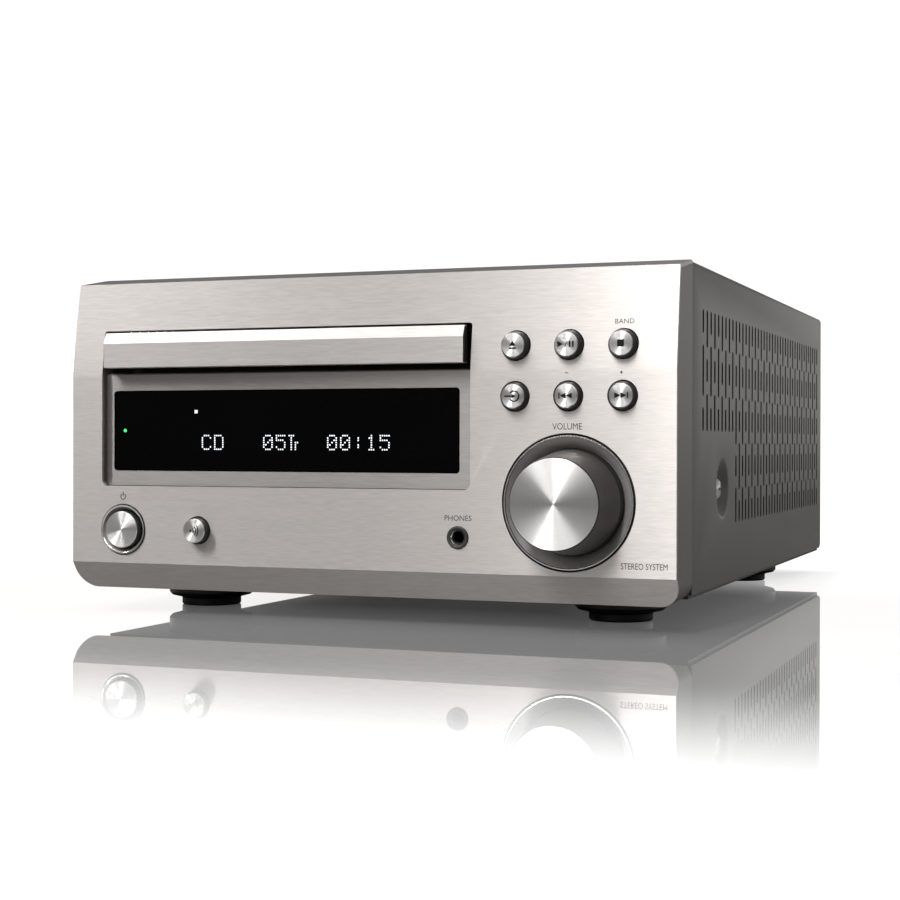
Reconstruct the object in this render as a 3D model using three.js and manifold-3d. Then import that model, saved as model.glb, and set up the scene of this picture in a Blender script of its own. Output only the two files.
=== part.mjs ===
// A one-box mini hifi system: a CD receiver with a motorised disc tray, a display and a volume knob in
// front, a vented steel cover, terminals behind, and the disc mechanism, supply and boards inside.
// Millimetres. X is to the right seen from the front, Y runs to the back, Z is up. While it is built,
// y = 0 is the plane of the front panel and z = 0 is the table; the last lines centre it on Y.

import * as THREE from 'three';
import { mergeVertices } from 'three/addons/utils/BufferGeometryUtils.js';
import Module from 'manifold-3d';

const wasm = await Module();
wasm.setup();

// ---------------------------------------------------------------- driving sizes

const WIDTH = 210;              // over the cover and the front panel
const HEIGHT = 115;             // table to the top of the cover
const COVER_BACK = 288;         // front plane to the rear edge of the cover
const SEAM = 21.2;              // where the front panel meets the cover
const REAR_REACH = 6;           // how far the terminals stand out behind the cover
const SHEET = 1;                // steel sheet of the cover, chassis and rear panel
const GAP = 0.3;                // running and fitting clearance
const BOARD = 1.6;              // circuit board thickness

const SKIN = 1.2;               // brushed aluminium skin of the front panel
const GLUE = 0.1;               // skin to moulding
const BEVEL = { depth: 6, bottom: 8.4, top: 17.3 };
const CROWN = { start: 35, lean: 4.4, drop: 3.1, power: 1.15, steps: 6 };
const CORNER = 6.5;             // lower corners of the front panel, seen from the front
const MOULDING = { back: 7, cheek: 3, floor: 13.5, roof: 4, underside: 10.9, duct: 1 };

const WINDOW = { left: 11.5, width: 133, top: 19.3, height: 52.4, corner: 1 };
const SLOT_HEIGHT = 14.9;       // of that window, the part that the disc tray comes through
const SURROUND = { recess: 2.3, thick: 1.6, corner: 2 };
const GLASS = { left: 3.5, right: 4.5, below: 5.2, above: 5.5, recess: 2.7, thick: 2.5, fit: 0.15 };
const MODULE = { inset: 2, edge: 2.5, plug: { half: 20, deep: 4, up: 2, tall: 6 } };

const DOOR = { side: 2, right: 1.5, below: 2.2, above: 0.9, proud: 2.6, facet: 3.6, slope: 1.7, thick: 4.2 };
const TRAY = { wall: 3, top: 1.3, bottom: 1, floor: 2, inset: 1, travel: 134 };
const DISC = { radius: 60.8, small: 40.3, centre: 70, depth: 3, step: 0.7, slot: 18 };
const RACK = { module: 1.5, inset: 8, lift: 0.2, first: 24 };
const GEAR = { teeth: 18, y: 34, bore: 2.7, post: 2.4 };
const PINION = { teeth: 10, bore: 1.3, shaft: 1 };
const BACKLASH = 0.3;

const KNOB = { right: 33.7, height: 39.8, base: 16.4, face: 14.1, out: 15, taper: 1.8, bore: 3.1, deep: 9.3 };
const DISH = { outer: 21.2, rim: 0.4, depth: 4.6, hole: 5.2, margin: 0.3, back: 0.5 };
const ENCODER = { half: 6.5, front: 9, bush: 4.5, bushFront: 6.5, shaft: 3, shaftEnd: 2 };
const KEY = { pitch: 17.1, upper: 26.9, lower: 42.6, hole: 4.8, cap: 4.4, face: 3.75, proud: 2.6 };
const PAIR_KEY = { left: 48.3, height: 28.8, cap: 4.3, face: 4, proud: 2.7 };
const POWER = { left: 19.8, height: 28.6, ring: 8.5, cap: 6.35, bore: 6.7, proud: 1.4 };
const JACK = { right: 69.6, height: 28.4, collar: 3.55, bore: 1.9, back: 22, width: 12, tall: 10 };
const PRESS = 1.2;              // button travel
const FLANGE = 1;               // thickness of the flanges behind the moulding
const STEM = { radius: 1.6, end: 11.2 };
const SWITCH = { half: 3, play: 0.5 };
const PANEL_BOARD = 14.5;       // front face of the front board

const FOOT = { height: 9.6, radius: 15, pad: 10.5, padHeight: 2.6, frontIn: 29, backIn: 25, front: 45, back: 62 };
const CHASSIS_FLANGE = 14;
const SIDE_SCREW = { y: 67.3, z: 42.8, dish: 9.5, seat: 5.5, deep: 2.8, head: 3.6, shank: 1.9, tall: 2, long: 8,
  tab: 9, tabTop: 8 };
const STANDOFF = 3;             // radius of the posts under the main board
const REAR_LIP = 7;
const REAR_SCREW = { z: 62, head: 3.2, shank: 1.6, tall: 1.8, long: 5 };
const COVER_CORNER = { top: 1.5, rear: 6 };

const LOADER = { wall: 3, side: 0.5, front: 20, bottom: 58, deck: 3, deckBack: 50, rear: 14, leg: 12, ledge: 4,
  rail: 10, legGap: 1.5 };
const MOTOR = { radius: 8, long: 19 };
const BRIDGE = { half: 22, thick: 1.5, hole: 15.5 };
const PUCK = { radius: 14.5, flange: 17.5, thick: 1.5, cup: 8 };
const TURNTABLE = { radius: 15, hub: 6, above: 1.1, thick: 3, cone: 7.4, tip: 5, coneHeight: 3.3 };
const TRAVERSE = { half: 38, front: 53, back: 160, thick: 2, pivotY: 155, pivotHalf: 60, pin: 2, below: 3.9,
  arm: 5, wellEnd: 6, wellSide: 2, bearing: 3 };
const LUG = { half: 3, deep: 3, tall: 5, before: 4, behind: 7 };
const RAIL = { half: 1.5, tall: 2, before: 2 };
const SPINDLE = { radius: 12, long: 10, shaft: 1 };
const SLED = { half: 19, long: 26, thick: 4, keel: 1.5, start: 13, lens: 5, lensBelow: 4, rod: 1.5, rodOut: 26,
  rodUp: 3, rodFit: 0.05, ear: { out: 3.5, inset: 3, tall: 5.5 }, toe: { out: 2, front: 8, back: 16, z0: 2.2, z1: 4 } };

// ---------------------------------------------------------------- places worked out from them

const half = WIDTH / 2;
const windowBox = {
  x0: -half + WINDOW.left,
  x1: -half + WINDOW.left + WINDOW.width,
  z0: HEIGHT - WINDOW.top - WINDOW.height,
  z1: HEIGHT - WINDOW.top,
};
const sill = windowBox.z1 - SLOT_HEIGHT;
const knobX = half - KNOB.right;
const keyRows = { upper: HEIGHT - KEY.upper, lower: HEIGHT - KEY.lower };
const floorTop = FOOT.height + SHEET;
const rearFace = COVER_BACK - SHEET;
const rearEnd = COVER_BACK + REAR_REACH;

const door = {
  x0: windowBox.x0 + DOOR.side,
  x1: windowBox.x1 - DOOR.right,
  z0: sill + DOOR.below,
  z1: windowBox.z1 - DOOR.above,
  back: DOOR.thick - DOOR.proud,
};
const tray = {
  x: (door.x0 + door.x1) / 2,
  half: (door.x1 - door.x0) / 2 - TRAY.inset,
  z0: door.z0 + TRAY.bottom,
  z1: door.z1 - TRAY.top,
};
tray.recess = tray.z1 - DISC.depth;
tray.under = tray.recess - TRAY.floor;
const rackPitch = Math.PI * RACK.module;
const rackLine = tray.x - tray.half + RACK.inset;
// one tooth of the rack lies beside the gear's centre, in the gap that the gear has there, and the rack
// still meets the gear when the tray is right out
const rackPhase = GEAR.y - rackPitch * Math.floor((GEAR.y - RACK.first) / rackPitch - 0.5);
const rackTeeth = Math.ceil((GEAR.y + TRAY.travel - rackPhase) / rackPitch) + 1;
const rackEnd = rackPhase + (rackTeeth - 0.5) * rackPitch;
const trayBack = rackEnd + 2;
const loaderBack = trayBack + 5;
const gearRadius = (RACK.module * GEAR.teeth) / 2;
const pinionRadius = (RACK.module * PINION.teeth) / 2;
const gearX = rackLine + gearRadius;
const pinionX = gearX + gearRadius + pinionRadius;
const gearZ = tray.z0 + GAP;
const deckTop = tray.z0 - GAP;
const gearTop = tray.under - GAP;
const platterTop = tray.recess + TURNTABLE.above;
const traverseTop = tray.z0 - TRAVERSE.below;
const loaderTop = door.z1 + DOOR.above + GAP;

// ---------------------------------------------------------------- building helpers

const ROUND = { small: 12, medium: 20, large: 32 };

function signedVolume(geometry) {
  const p = geometry.attributes.position;
  const index = geometry.index;
  const [a, b, c] = [new THREE.Vector3(), new THREE.Vector3(), new THREE.Vector3()];
  let sum = 0;
  for (let i = 0; i < index.count; i += 3) {
    a.fromBufferAttribute(p, index.getX(i));
    b.fromBufferAttribute(p, index.getX(i + 1));
    c.fromBufferAttribute(p, index.getX(i + 2));
    sum += a.dot(b.cross(c)) / 6;
  }
  return sum;
}

// Merge a geometry's shared vertices, drop its collapsed triangles and turn its faces outwards.
function closed(geometry) {
  geometry.deleteAttribute('normal');
  geometry.deleteAttribute('uv');
  const merged = mergeVertices(geometry, 1e-4);
  const source = merged.index.array;
  const kept = [];
  for (let i = 0; i < source.length; i += 3) {
    const [a, b, c] = [source[i], source[i + 1], source[i + 2]];
    if (a !== b && b !== c && c !== a) kept.push(a, b, c);
  }
  merged.setIndex(kept);
  if (signedVolume(merged) < 0) merged.setIndex(kept.reverse());
  return merged;
}

function solid(geometry) {
  const ready = closed(geometry);
  const vertProperties = new Float32Array(ready.attributes.position.array);
  const triVerts = new Uint32Array(ready.index.array);
  return new wasm.Manifold(new wasm.Mesh({ numProp: 3, vertProperties, triVerts }));
}

function geometryOf(body) {
  const mesh = body.getMesh();
  const geometry = new THREE.BufferGeometry();
  geometry.setAttribute('position', new THREE.BufferAttribute(new Float32Array(mesh.vertProperties), 3));
  geometry.setIndex(new THREE.BufferAttribute(new Uint32Array(mesh.triVerts), 1));
  return geometry;
}

const join = (first, ...others) => others.reduce((sum, next) => sum.add(next), first);
const cut = (first, ...tools) => tools.reduce((rest, tool) => rest.subtract(tool), first);

function block(x0, x1, y0, y1, z0, z1) {
  const box = new THREE.BoxGeometry(x1 - x0, y1 - y0, z1 - z0);
  return solid(box.translate((x0 + x1) / 2, (y0 + y1) / 2, (z0 + z1) / 2));
}

// A profile of [radius, distance] pairs turned about an axis along Y, Z or X through a point.
function turned(profile, segments, axis, x, y, z) {
  const lathe = new THREE.LatheGeometry(profile.map(([r, d]) => new THREE.Vector2(r, d)), segments);
  if (axis === 'z') lathe.rotateX(Math.PI / 2);
  if (axis === 'x') lathe.rotateZ(-Math.PI / 2);
  return solid(lathe.translate(x, y, z));
}

function rod(radius, from, to, segments, axis, x, y, z) {
  return turned([[0, from], [radius, from], [radius, to], [0, to]], segments, axis, x, y, z);
}

function shapeOf(points) {
  return new THREE.Shape(points.map(([a, b]) => new THREE.Vector2(a, b)));
}

function extruded(shape, depth, right, up, origin, curveSegments = 5) {
  const geometry = new THREE.ExtrudeGeometry(shape, { depth, bevelEnabled: false, curveSegments });
  const along = new THREE.Vector3().crossVectors(right, up);
  geometry.applyMatrix4(new THREE.Matrix4().makeBasis(right, up, along));
  return solid(geometry.translate(origin.x, origin.y, origin.z));
}

const X = new THREE.Vector3(1, 0, 0);
const Y = new THREE.Vector3(0, 1, 0);
const Z = new THREE.Vector3(0, 0, 1);

// Outlines drawn in the YZ plane, the XZ plane and the XY plane, extruded across.
const acrossX = (shape, x0, x1) => extruded(shape, x1 - x0, Y, Z, new THREE.Vector3(x0, 0, 0));
const acrossY = (shape, y0, y1) => extruded(shape, y1 - y0, X, Z, new THREE.Vector3(0, y1, 0));
const acrossZ = (shape, z0, z1) => extruded(shape, z1 - z0, X, Y, new THREE.Vector3(0, 0, z0));

// A rectangle whose lower and upper corners are rounded.
function roundedRectangle(x0, x1, z0, z1, lower, upper) {
  const shape = new THREE.Shape();
  shape.moveTo(x0 + lower, z0);
  shape.lineTo(x1 - lower, z0);
  if (lower > 0) shape.absarc(x1 - lower, z0 + lower, lower, -Math.PI / 2, 0);
  shape.lineTo(x1, z1 - upper);
  if (upper > 0) shape.absarc(x1 - upper, z1 - upper, upper, 0, Math.PI / 2);
  shape.lineTo(x0 + upper, z1);
  if (upper > 0) shape.absarc(x0 + upper, z1 - upper, upper, Math.PI / 2, Math.PI);
  shape.lineTo(x0, z0 + lower);
  if (lower > 0) shape.absarc(x0 + lower, z0 + lower, lower, Math.PI, Math.PI * 1.5);
  return shape;
}

// Move an open line of points to its right-hand side by a distance, with mitred corners.
function offsetLine(points, distance) {
  return points.map((point, i) => {
    const here = new THREE.Vector2(...point);
    const before = i > 0 ? here.clone().sub(new THREE.Vector2(...points[i - 1])).normalize() : null;
    const after = i < points.length - 1 ? new THREE.Vector2(...points[i + 1]).sub(here).normalize() : null;
    const normals = [before, after].filter(Boolean).map((d) => new THREE.Vector2(d.y, -d.x));
    const sum = normals.reduce((total, n) => total.add(n), new THREE.Vector2()).normalize();
    const stretch = distance / sum.dot(normals[0].clone().normalize());
    return normals.length === 1
      ? [here.x + normals[0].x * distance, here.y + normals[0].y * distance]
      : [here.x + sum.x * stretch, here.y + sum.y * stretch];
  });
}

// Spur gear outline with involute flanks, centred on the origin.
function gearShape(module, teeth, turn) {
  const pitch = (module * teeth) / 2;
  const base = pitch * Math.cos(THREE.MathUtils.degToRad(20));
  const outer = pitch + module * 0.85;
  const root = pitch - module * 1.15;
  const involute = (radius) => {
    const angle = Math.acos(Math.min(1, base / radius));
    return Math.tan(angle) - angle;
  };
  const halfTooth = Math.PI / 2 / teeth - BACKLASH / 4 / pitch;
  const points = [];
  for (let tooth = 0; tooth < teeth; tooth += 1) {
    const middle = turn + (tooth * 2 * Math.PI) / teeth;
    const flank = [root, Math.max(base, root), pitch, outer].map((radius) => {
      const spread = halfTooth + involute(pitch) - involute(Math.max(radius, base));
      return [radius, spread];
    });
    const rising = flank.map(([radius, spread]) => [radius, middle - spread]);
    const falling = flank.map(([radius, spread]) => [radius, middle + spread]).reverse();
    for (const [radius, angle] of [...rising, ...falling]) {
      points.push([radius * Math.cos(angle), radius * Math.sin(angle)]);
    }
  }
  return shapeOf(points);
}

// ---------------------------------------------------------------- front panel

// The outer line of the front panel from the lower bevel up over the crown to the seam, as [y, z].
function panelLine() {
  const line = [[BEVEL.depth, BEVEL.bottom], [0, BEVEL.top]];
  const start = HEIGHT - CROWN.start;
  const rise = CROWN.start - CROWN.drop;
  for (let i = 0; i <= CROWN.steps; i += 1) {
    const t = i / CROWN.steps;
    line.push([CROWN.lean * t ** CROWN.power, start + rise * t]);
  }
  line.push([SEAM, HEIGHT]);
  return line;
}

function frontOutline(y0, y1) {
  return acrossY(roundedRectangle(-half, half, BEVEL.bottom, HEIGHT, CORNER, 0.8), y0, y1);
}

const controls = [
  { x: knobX, z: KNOB.height, hole: DISH.outer + GLUE, round: ROUND.large },
  { x: -half + POWER.left, z: POWER.height, hole: POWER.ring + GLUE, round: ROUND.medium },
  { x: -half + PAIR_KEY.left, z: PAIR_KEY.height, hole: PAIR_KEY.cap + 0.4, round: ROUND.small },
  { x: half - JACK.right, z: JACK.height, hole: JACK.collar + GLUE, round: ROUND.small },
];
const keyNames = [
  { name: 'eject_button', column: -1, z: keyRows.upper },
  { name: 'play_pause_button', column: 0, z: keyRows.upper },
  { name: 'stop_button', column: 1, z: keyRows.upper },
  { name: 'source_button', column: -1, z: keyRows.lower },
  { name: 'previous_button', column: 0, z: keyRows.lower },
  { name: 'next_button', column: 1, z: keyRows.lower },
];
const keys = keyNames.map((key) => ({ ...key, x: knobX + key.column * KEY.pitch }));

function controlHoles(extra) {
  const all = [...controls, ...keys.map(({ x, z }) => ({ x, z, hole: KEY.hole, round: ROUND.small }))];
  return all.map(({ x, z, hole, round }) => rod(hole + extra, -2, SEAM, round, 'y', x, 0, z));
}

function frontFascia() {
  const outer = panelLine();
  const inner = offsetLine(outer, SKIN).reverse();
  const skin = acrossX(shapeOf([...outer, ...inner]), -half, half).intersect(frontOutline(-1, SEAM));
  const { x0, x1, z0, z1 } = windowBox;
  const opening = acrossY(roundedRectangle(x0, x1, z0, z1, SURROUND.corner, WINDOW.corner), -2, SEAM);
  return cut(skin, opening, ...controlHoles(0));
}

function fasciaFrame() {
  const front = offsetLine(panelLine(), SKIN + GLUE);
  const lip = front[front.length - 1];
  const outline = [...front.slice(0, -1), [SEAM, lip[1]], [SEAM, MOULDING.underside]];
  const lump = acrossX(shapeOf(outline), -half, half).intersect(frontOutline(0, SEAM + 1));
  const pocket = block(-half + MOULDING.cheek, half - MOULDING.cheek, MOULDING.back, SEAM + 1,
    MOULDING.floor, HEIGHT - MOULDING.roof);
  const { x0, x1, z0, z1 } = windowBox;
  const seat = SURROUND.recess + SURROUND.thick + GLUE;
  const bed = acrossY(roundedRectangle(x0, x1, z0, sill + 0.5, SURROUND.corner, 0), -2, seat);
  const slot = block(x0, x1, -2, SEAM, sill + 0.5, z1);
  const glass = glassBox(0.5);
  const glassHole = block(glass.x0, glass.x1, -2, SEAM, glass.z0, glass.z1);
  const duct = [x0 - GAP - MOULDING.duct, x1 + GAP].map((x) =>
    block(x, x + MOULDING.duct, MOULDING.back - 0.1, LOADER.front - GAP, sill, z1));
  return join(cut(lump, pocket, bed, slot, glassHole, ...controlHoles(GLUE)), ...duct);
}

function glassBox(margin) {
  return {
    x0: windowBox.x0 + GLASS.left - margin,
    x1: windowBox.x1 - GLASS.right + margin,
    z0: windowBox.z0 + GLASS.below - margin,
    z1: sill - GLASS.above + margin,
  };
}

function displaySurround() {
  const fit = GLASS.fit;
  const plate = acrossY(
    roundedRectangle(windowBox.x0 + fit, windowBox.x1 - fit, windowBox.z0 + fit, sill, SURROUND.corner, 0.5),
    SURROUND.recess, SURROUND.recess + SURROUND.thick);
  const { x0, x1, z0, z1 } = glassBox(fit);
  return cut(plate, acrossY(roundedRectangle(x0, x1, z0, z1, 1.5, 1.5), 0, SEAM));
}

function displayWindow() {
  const { x0, x1, z0, z1 } = glassBox(0);
  return acrossY(roundedRectangle(x0, x1, z0, z1, 1.5, 1.5), GLASS.recess, GLASS.recess + GLASS.thick);
}

function displayModule() {
  const { plug } = MODULE;
  const inner = glassBox(-MODULE.inset);
  const outer = glassBox(MODULE.edge);
  const front = GLASS.recess + GLASS.thick + GAP;
  const back = MOULDING.back + GAP;
  return join(
    block(inner.x0, inner.x1, front, back + 0.1, inner.z0, inner.z1),
    block(outer.x0, outer.x1, back, back + BOARD, outer.z0, outer.z1),
    block(tray.x - plug.half, tray.x + plug.half, back + BOARD, back + BOARD + plug.deep, outer.z0 + plug.up,
      outer.z0 + plug.up + plug.tall),
  );
}

// ---------------------------------------------------------------- controls

// A round button: face, tapered cap, skirt through the panel, flange behind it and stem to its switch.
function roundButton(face, cap, proud, x, z, hold) {
  const flange = cap + 1;
  return turned([
    [0, -proud], [face - 0.3, -proud], [face, -proud + 0.3], [cap, 0.3 - proud * 0.2], [cap, hold],
    [flange, hold], [flange, hold + FLANGE], [STEM.radius, hold + FLANGE], [STEM.radius, STEM.end], [0, STEM.end],
  ], ROUND.small, 'y', x, 0, z);
}

function collar(outer, rim, profile, x, z, segments) {
  const hold = MOULDING.back + GAP;
  return turned([
    ...profile, [outer, -rim + 0.3], [outer, hold], [outer + 1.8, hold], [outer + 1.8, hold + FLANGE],
    [profile[0][0], hold + FLANGE], profile[0],
  ], segments, 'y', x, 0, z);
}

function powerRing() {
  const { x, z } = controls[1];
  const dished = [[POWER.bore, 1.6], [POWER.ring - 0.6, -0.4], [POWER.ring - 0.2, -0.4]];
  return collar(POWER.ring, 0.4, dished, x, z, ROUND.medium);
}

function volumeRing() {
  const floor = KNOB.base + DISH.margin;
  const dished = [[DISH.hole, DISH.depth], [floor, DISH.depth], [DISH.outer - 1, 0.2],
    [DISH.outer - 0.3, -DISH.rim]];
  return collar(DISH.outer, DISH.rim, dished, knobX, KNOB.height, ROUND.large);
}

function volumeKnob() {
  const { out, face, base, taper, bore, deep } = KNOB;
  const back = DISH.depth - DISH.back;
  return turned([
    [0, -out], [face - 0.3, -out], [face, -out + 0.3], [base, taper], [base, back], [bore, back], [bore, -deep],
    [0, -deep],
  ], ROUND.large, 'y', knobX, 0, KNOB.height);
}

function encoderShaft() {
  return rod(ENCODER.shaft, GAP - KNOB.deep, PANEL_BOARD - ENCODER.shaftEnd, ROUND.small, 'y', knobX, 0,
    KNOB.height);
}

function volumeEncoder() {
  const { half: w, front, bush, bushFront, shaft } = ENCODER;
  const [x, z] = [knobX, KNOB.height];
  const can = block(x - w, x + w, front, PANEL_BOARD, z - w, z + w);
  const collarTube = rod(bush, bushFront, front + 0.1, ROUND.small, 'y', x, 0, z);
  const bore = rod(shaft + GAP, bushFront - 1, PANEL_BOARD - ENCODER.shaftEnd + GAP, ROUND.small, 'y', x, 0, z);
  return cut(join(can, collarTube), bore);
}

function phonesJack() {
  const { x, z } = controls[3];
  const nut = rod(JACK.collar, -0.5, MOULDING.back + GAP + 0.1, ROUND.small, 'y', x, 0, z);
  const [w, t] = [JACK.width / 2, JACK.tall / 2];
  const shell = block(x - w, x + w, MOULDING.back + GAP, JACK.back, z - t, z + t);
  return cut(join(nut, shell), rod(JACK.bore, -1, JACK.back - 2, ROUND.small, 'y', x, 0, z));
}

function frontBoard() {
  const edge = MOULDING.cheek + 2;
  const low = windowBox.z0 - 2;
  const split = windowBox.x1 + 5;
  const outline = [[-half + edge, MOULDING.floor + 1], [half - edge, MOULDING.floor + 1],
    [half - edge, HEIGHT - MOULDING.roof - 4], [split, HEIGHT - MOULDING.roof - 4], [split, low],
    [-half + edge, low]];
  const board = acrossY(shapeOf(outline), PANEL_BOARD, PANEL_BOARD + BOARD);
  const switches = [...keys, controls[1], controls[2]].map(({ x, z }) =>
    block(x - SWITCH.half, x + SWITCH.half, STEM.end + PRESS + SWITCH.play, PANEL_BOARD + 0.1, z - SWITCH.half,
      z + SWITCH.half));
  const jack = controls[3];
  const notch = block(jack.x - JACK.width / 2 - 0.5, jack.x + JACK.width / 2 + 0.5, PANEL_BOARD - 1,
    PANEL_BOARD + BOARD + 1, jack.z - JACK.tall / 2 - 0.5, jack.z + JACK.tall / 2 + 0.5);
  return cut(join(board, ...switches), notch);
}

// ---------------------------------------------------------------- disc tray and its loader

function trayDoor() {
  const [front, back] = [-DOOR.proud, door.back];
  const outline = [[front + 0.4, door.z0], [back, door.z0], [back, door.z1], [front + DOOR.slope, door.z1],
    [front, door.z1 - DOOR.facet], [front, door.z0 + 0.4]];
  return acrossX(shapeOf(outline), door.x0, door.x1);
}

function trayRack() {
  const m = RACK.module;
  const slant = m * Math.tan(THREE.MathUtils.degToRad(20));
  const [tip, root] = [rackLine + m * 0.85, rackLine - m * 1.15];
  const back = tray.x - tray.half + TRAY.wall - 0.5;
  const points = [[back, RACK.first], [root, RACK.first]];
  const halfTooth = rackPitch / 4 - BACKLASH / 4;
  for (let i = 0; i < rackTeeth; i += 1) {
    const y = rackPhase + i * rackPitch;
    points.push([root, y - halfTooth - slant * 1.15], [tip, y - halfTooth + slant * 0.85]);
    points.push([tip, y + halfTooth - slant * 0.85], [root, y + halfTooth + slant * 1.15]);
  }
  points.push([root, rackEnd], [back, rackEnd]);
  return acrossZ(shapeOf(points), tray.z0 + RACK.lift, tray.under + 0.5);
}

function discTray() {
  const [x0, x1] = [tray.x - tray.half, tray.x + tray.half];
  const plate = block(x0, x1, door.back, trayBack, tray.z0, tray.z1);
  const channel = block(x0 + TRAY.wall, x1 - TRAY.wall, door.back + 5, trayBack + 1, tray.z0 - 1, tray.under);
  const at = [tray.x, DISC.centre, 0];
  const recess = rod(DISC.radius, tray.recess, tray.z1 + 1, ROUND.large, 'z', ...at);
  const smallRecess = rod(DISC.small, tray.recess - DISC.step, tray.z1, ROUND.large, 'z', ...at);
  const hub = rod(DISC.slot, tray.z0 - 1, tray.z1 + 1, ROUND.medium, 'z', ...at);
  const lane = block(tray.x - DISC.slot, tray.x + DISC.slot, DISC.centre, trayBack + 1, tray.z0 - 1, tray.z1 + 1);
  return join(cut(plate, channel, recess, smallRecess, hub, lane), trayRack());
}

function loadingGear() {
  // the gap beside the rack is half a tooth pitch round from the first tooth
  const turn = Math.PI + Math.PI / GEAR.teeth;
  const wheel = acrossZ(gearShape(RACK.module, GEAR.teeth, turn), gearZ, gearTop);
  return cut(wheel, rod(GEAR.bore, gearZ - 1, gearTop + 1, ROUND.small, 'z', 0, 0, 0))
    .translate([gearX, GEAR.y, 0]);
}

function motorPinion() {
  // a gear with an even number of teeth has a gap towards the pinion too, and with an odd number a tooth
  const shift = GEAR.teeth % 2 === 0 ? 0 : Math.PI / PINION.teeth;
  const wheel = acrossZ(gearShape(RACK.module, PINION.teeth, Math.PI + shift), gearZ, gearTop);
  return cut(wheel, rod(PINION.bore, gearZ - 1, gearTop + 1, ROUND.small, 'z', 0, 0, 0))
    .translate([pinionX, GEAR.y, 0]);
}

function loadingMotor() {
  const top = deckTop - LOADER.deck;
  const can = rod(MOTOR.radius, top - MOTOR.long, top, ROUND.medium, 'z', pinionX, GEAR.y, 0);
  return join(can, rod(PINION.shaft, top - 0.1, gearTop, 12, 'z', pinionX, GEAR.y, 0));
}

function loaderFrame() {
  const { wall: thick, side: room, front, bottom, deck, deckBack, rear, leg, ledge, rail, legGap } = LOADER;
  const inner = tray.half + room;
  const outer = inner + thick;
  const back = loaderBack;
  const legFront = Math.max(JACK.back, SEAM) + legGap;
  const parts = [
    block(tray.x - outer, tray.x + outer, front, deckBack, deckTop - deck, deckTop),
    block(tray.x - outer, tray.x + outer, back - rear, back, deckTop - deck, deckTop),
    rod(GEAR.post, deckTop - 0.1, gearTop, ROUND.small, 'z', gearX, GEAR.y, 0),
  ];
  for (const side of [-1, 1]) {
    const wall = [tray.x + side * inner, tray.x + side * outer].sort((a, b) => a - b);
    const shelf = [tray.x + side * (inner - ledge), tray.x + side * (inner + 1)].sort((a, b) => a - b);
    parts.push(block(...wall, front, back, bottom, loaderTop));
    parts.push(block(...shelf, front, back, deckTop - deck, deckTop));
    parts.push(block(...shelf, deckBack + rail, back, tray.z1 + GAP, loaderTop));
    parts.push(block(...wall, legFront, legFront + leg, floorTop, bottom + 0.1));
    parts.push(block(...wall, back - leg, back, floorTop, bottom + 0.1));
  }
  const pivot = rod(TRAVERSE.pin + GAP, -outer - 1, outer + 1, ROUND.small, 'x', tray.x, TRAVERSE.pivotY,
    traverseTop - TRAVERSE.thick / 2);
  const shaftHole = rod(PINION.shaft + GAP, bottom, deckTop + 1, ROUND.small, 'z', pinionX, GEAR.y, 0);
  return cut(join(...parts), pivot, shaftHole);
}

function clampBridge() {
  const outer = tray.half + LOADER.side + LOADER.wall;
  const plate = block(tray.x - outer, tray.x + outer, DISC.centre - BRIDGE.half, DISC.centre + BRIDGE.half,
    loaderTop, loaderTop + BRIDGE.thick);
  return cut(plate, rod(BRIDGE.hole, loaderTop - 1, loaderTop + BRIDGE.thick + 1, ROUND.medium, 'z',
    tray.x, DISC.centre, 0));
}

function clampPuck() {
  const bottom = platterTop + GAP;
  const seat = loaderTop + BRIDGE.thick + GAP;
  const cupTop = platterTop + TURNTABLE.coneHeight + GAP;
  return turned([
    [0, cupTop], [PUCK.cup, cupTop], [PUCK.cup, bottom], [PUCK.radius, bottom], [PUCK.radius, seat],
    [PUCK.flange, seat], [PUCK.flange, seat + PUCK.thick], [0, seat + PUCK.thick],
  ], ROUND.medium, 'z', tray.x, DISC.centre, 0);
}

// ---------------------------------------------------------------- traverse: spindle, rods and pickup

function traversePlate() {
  const { half: w, front, back, thick, pivotY, pivotHalf, pin, arm: reach, wellEnd, wellSide } = TRAVERSE;
  const [z0, z1] = [traverseTop - thick, traverseTop];
  const sledFront = DISC.centre + SLED.start;
  const plate = block(tray.x - w, tray.x + w, front, back, z0, z1);
  const arm = block(tray.x - pivotHalf, tray.x + pivotHalf, pivotY - reach, back, z0, z1);
  const pins = rod(pin, -(tray.half + 2), tray.half + 2, 12, 'x', tray.x, pivotY, (z0 + z1) / 2);
  const well = block(tray.x - SLED.half - wellSide, tray.x + SLED.half + wellSide, sledFront - 1,
    pivotY - wellEnd, z0 - 1, z1 + 1);
  const bearing = rod(TRAVERSE.bearing, z0 - 1, z1 + 1, ROUND.small, 'z', tray.x, DISC.centre, 0);
  const lugs = [-1, 1].flatMap((side) => [sledFront - LUG.before, pivotY - LUG.behind].map((y) => {
    const x = tray.x + side * SLED.rodOut;
    return block(x - LUG.half, x + LUG.half, y, y + LUG.deep, z0, z1 + LUG.tall);
  }));
  const rail = block(tray.x - SLED.rodOut - RAIL.half, tray.x - SLED.rodOut + RAIL.half, sledFront - RAIL.before,
    pivotY - wellEnd, z0, z1 + RAIL.tall);
  const bore = rod(SLED.rod + SLED.rodFit, DISC.centre, pivotY, ROUND.small, 'y', tray.x + SLED.rodOut, 0,
    z1 + SLED.rodUp);
  return cut(join(cut(plate, well, bearing), arm, pins, ...lugs, rail), bore);
}

function guideRod() {
  return rod(SLED.rod, DISC.centre + SLED.start - LUG.before, TRAVERSE.pivotY - LUG.behind + LUG.deep,
    ROUND.small, 'y', tray.x + SLED.rodOut, 0, traverseTop + SLED.rodUp);
}

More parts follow.
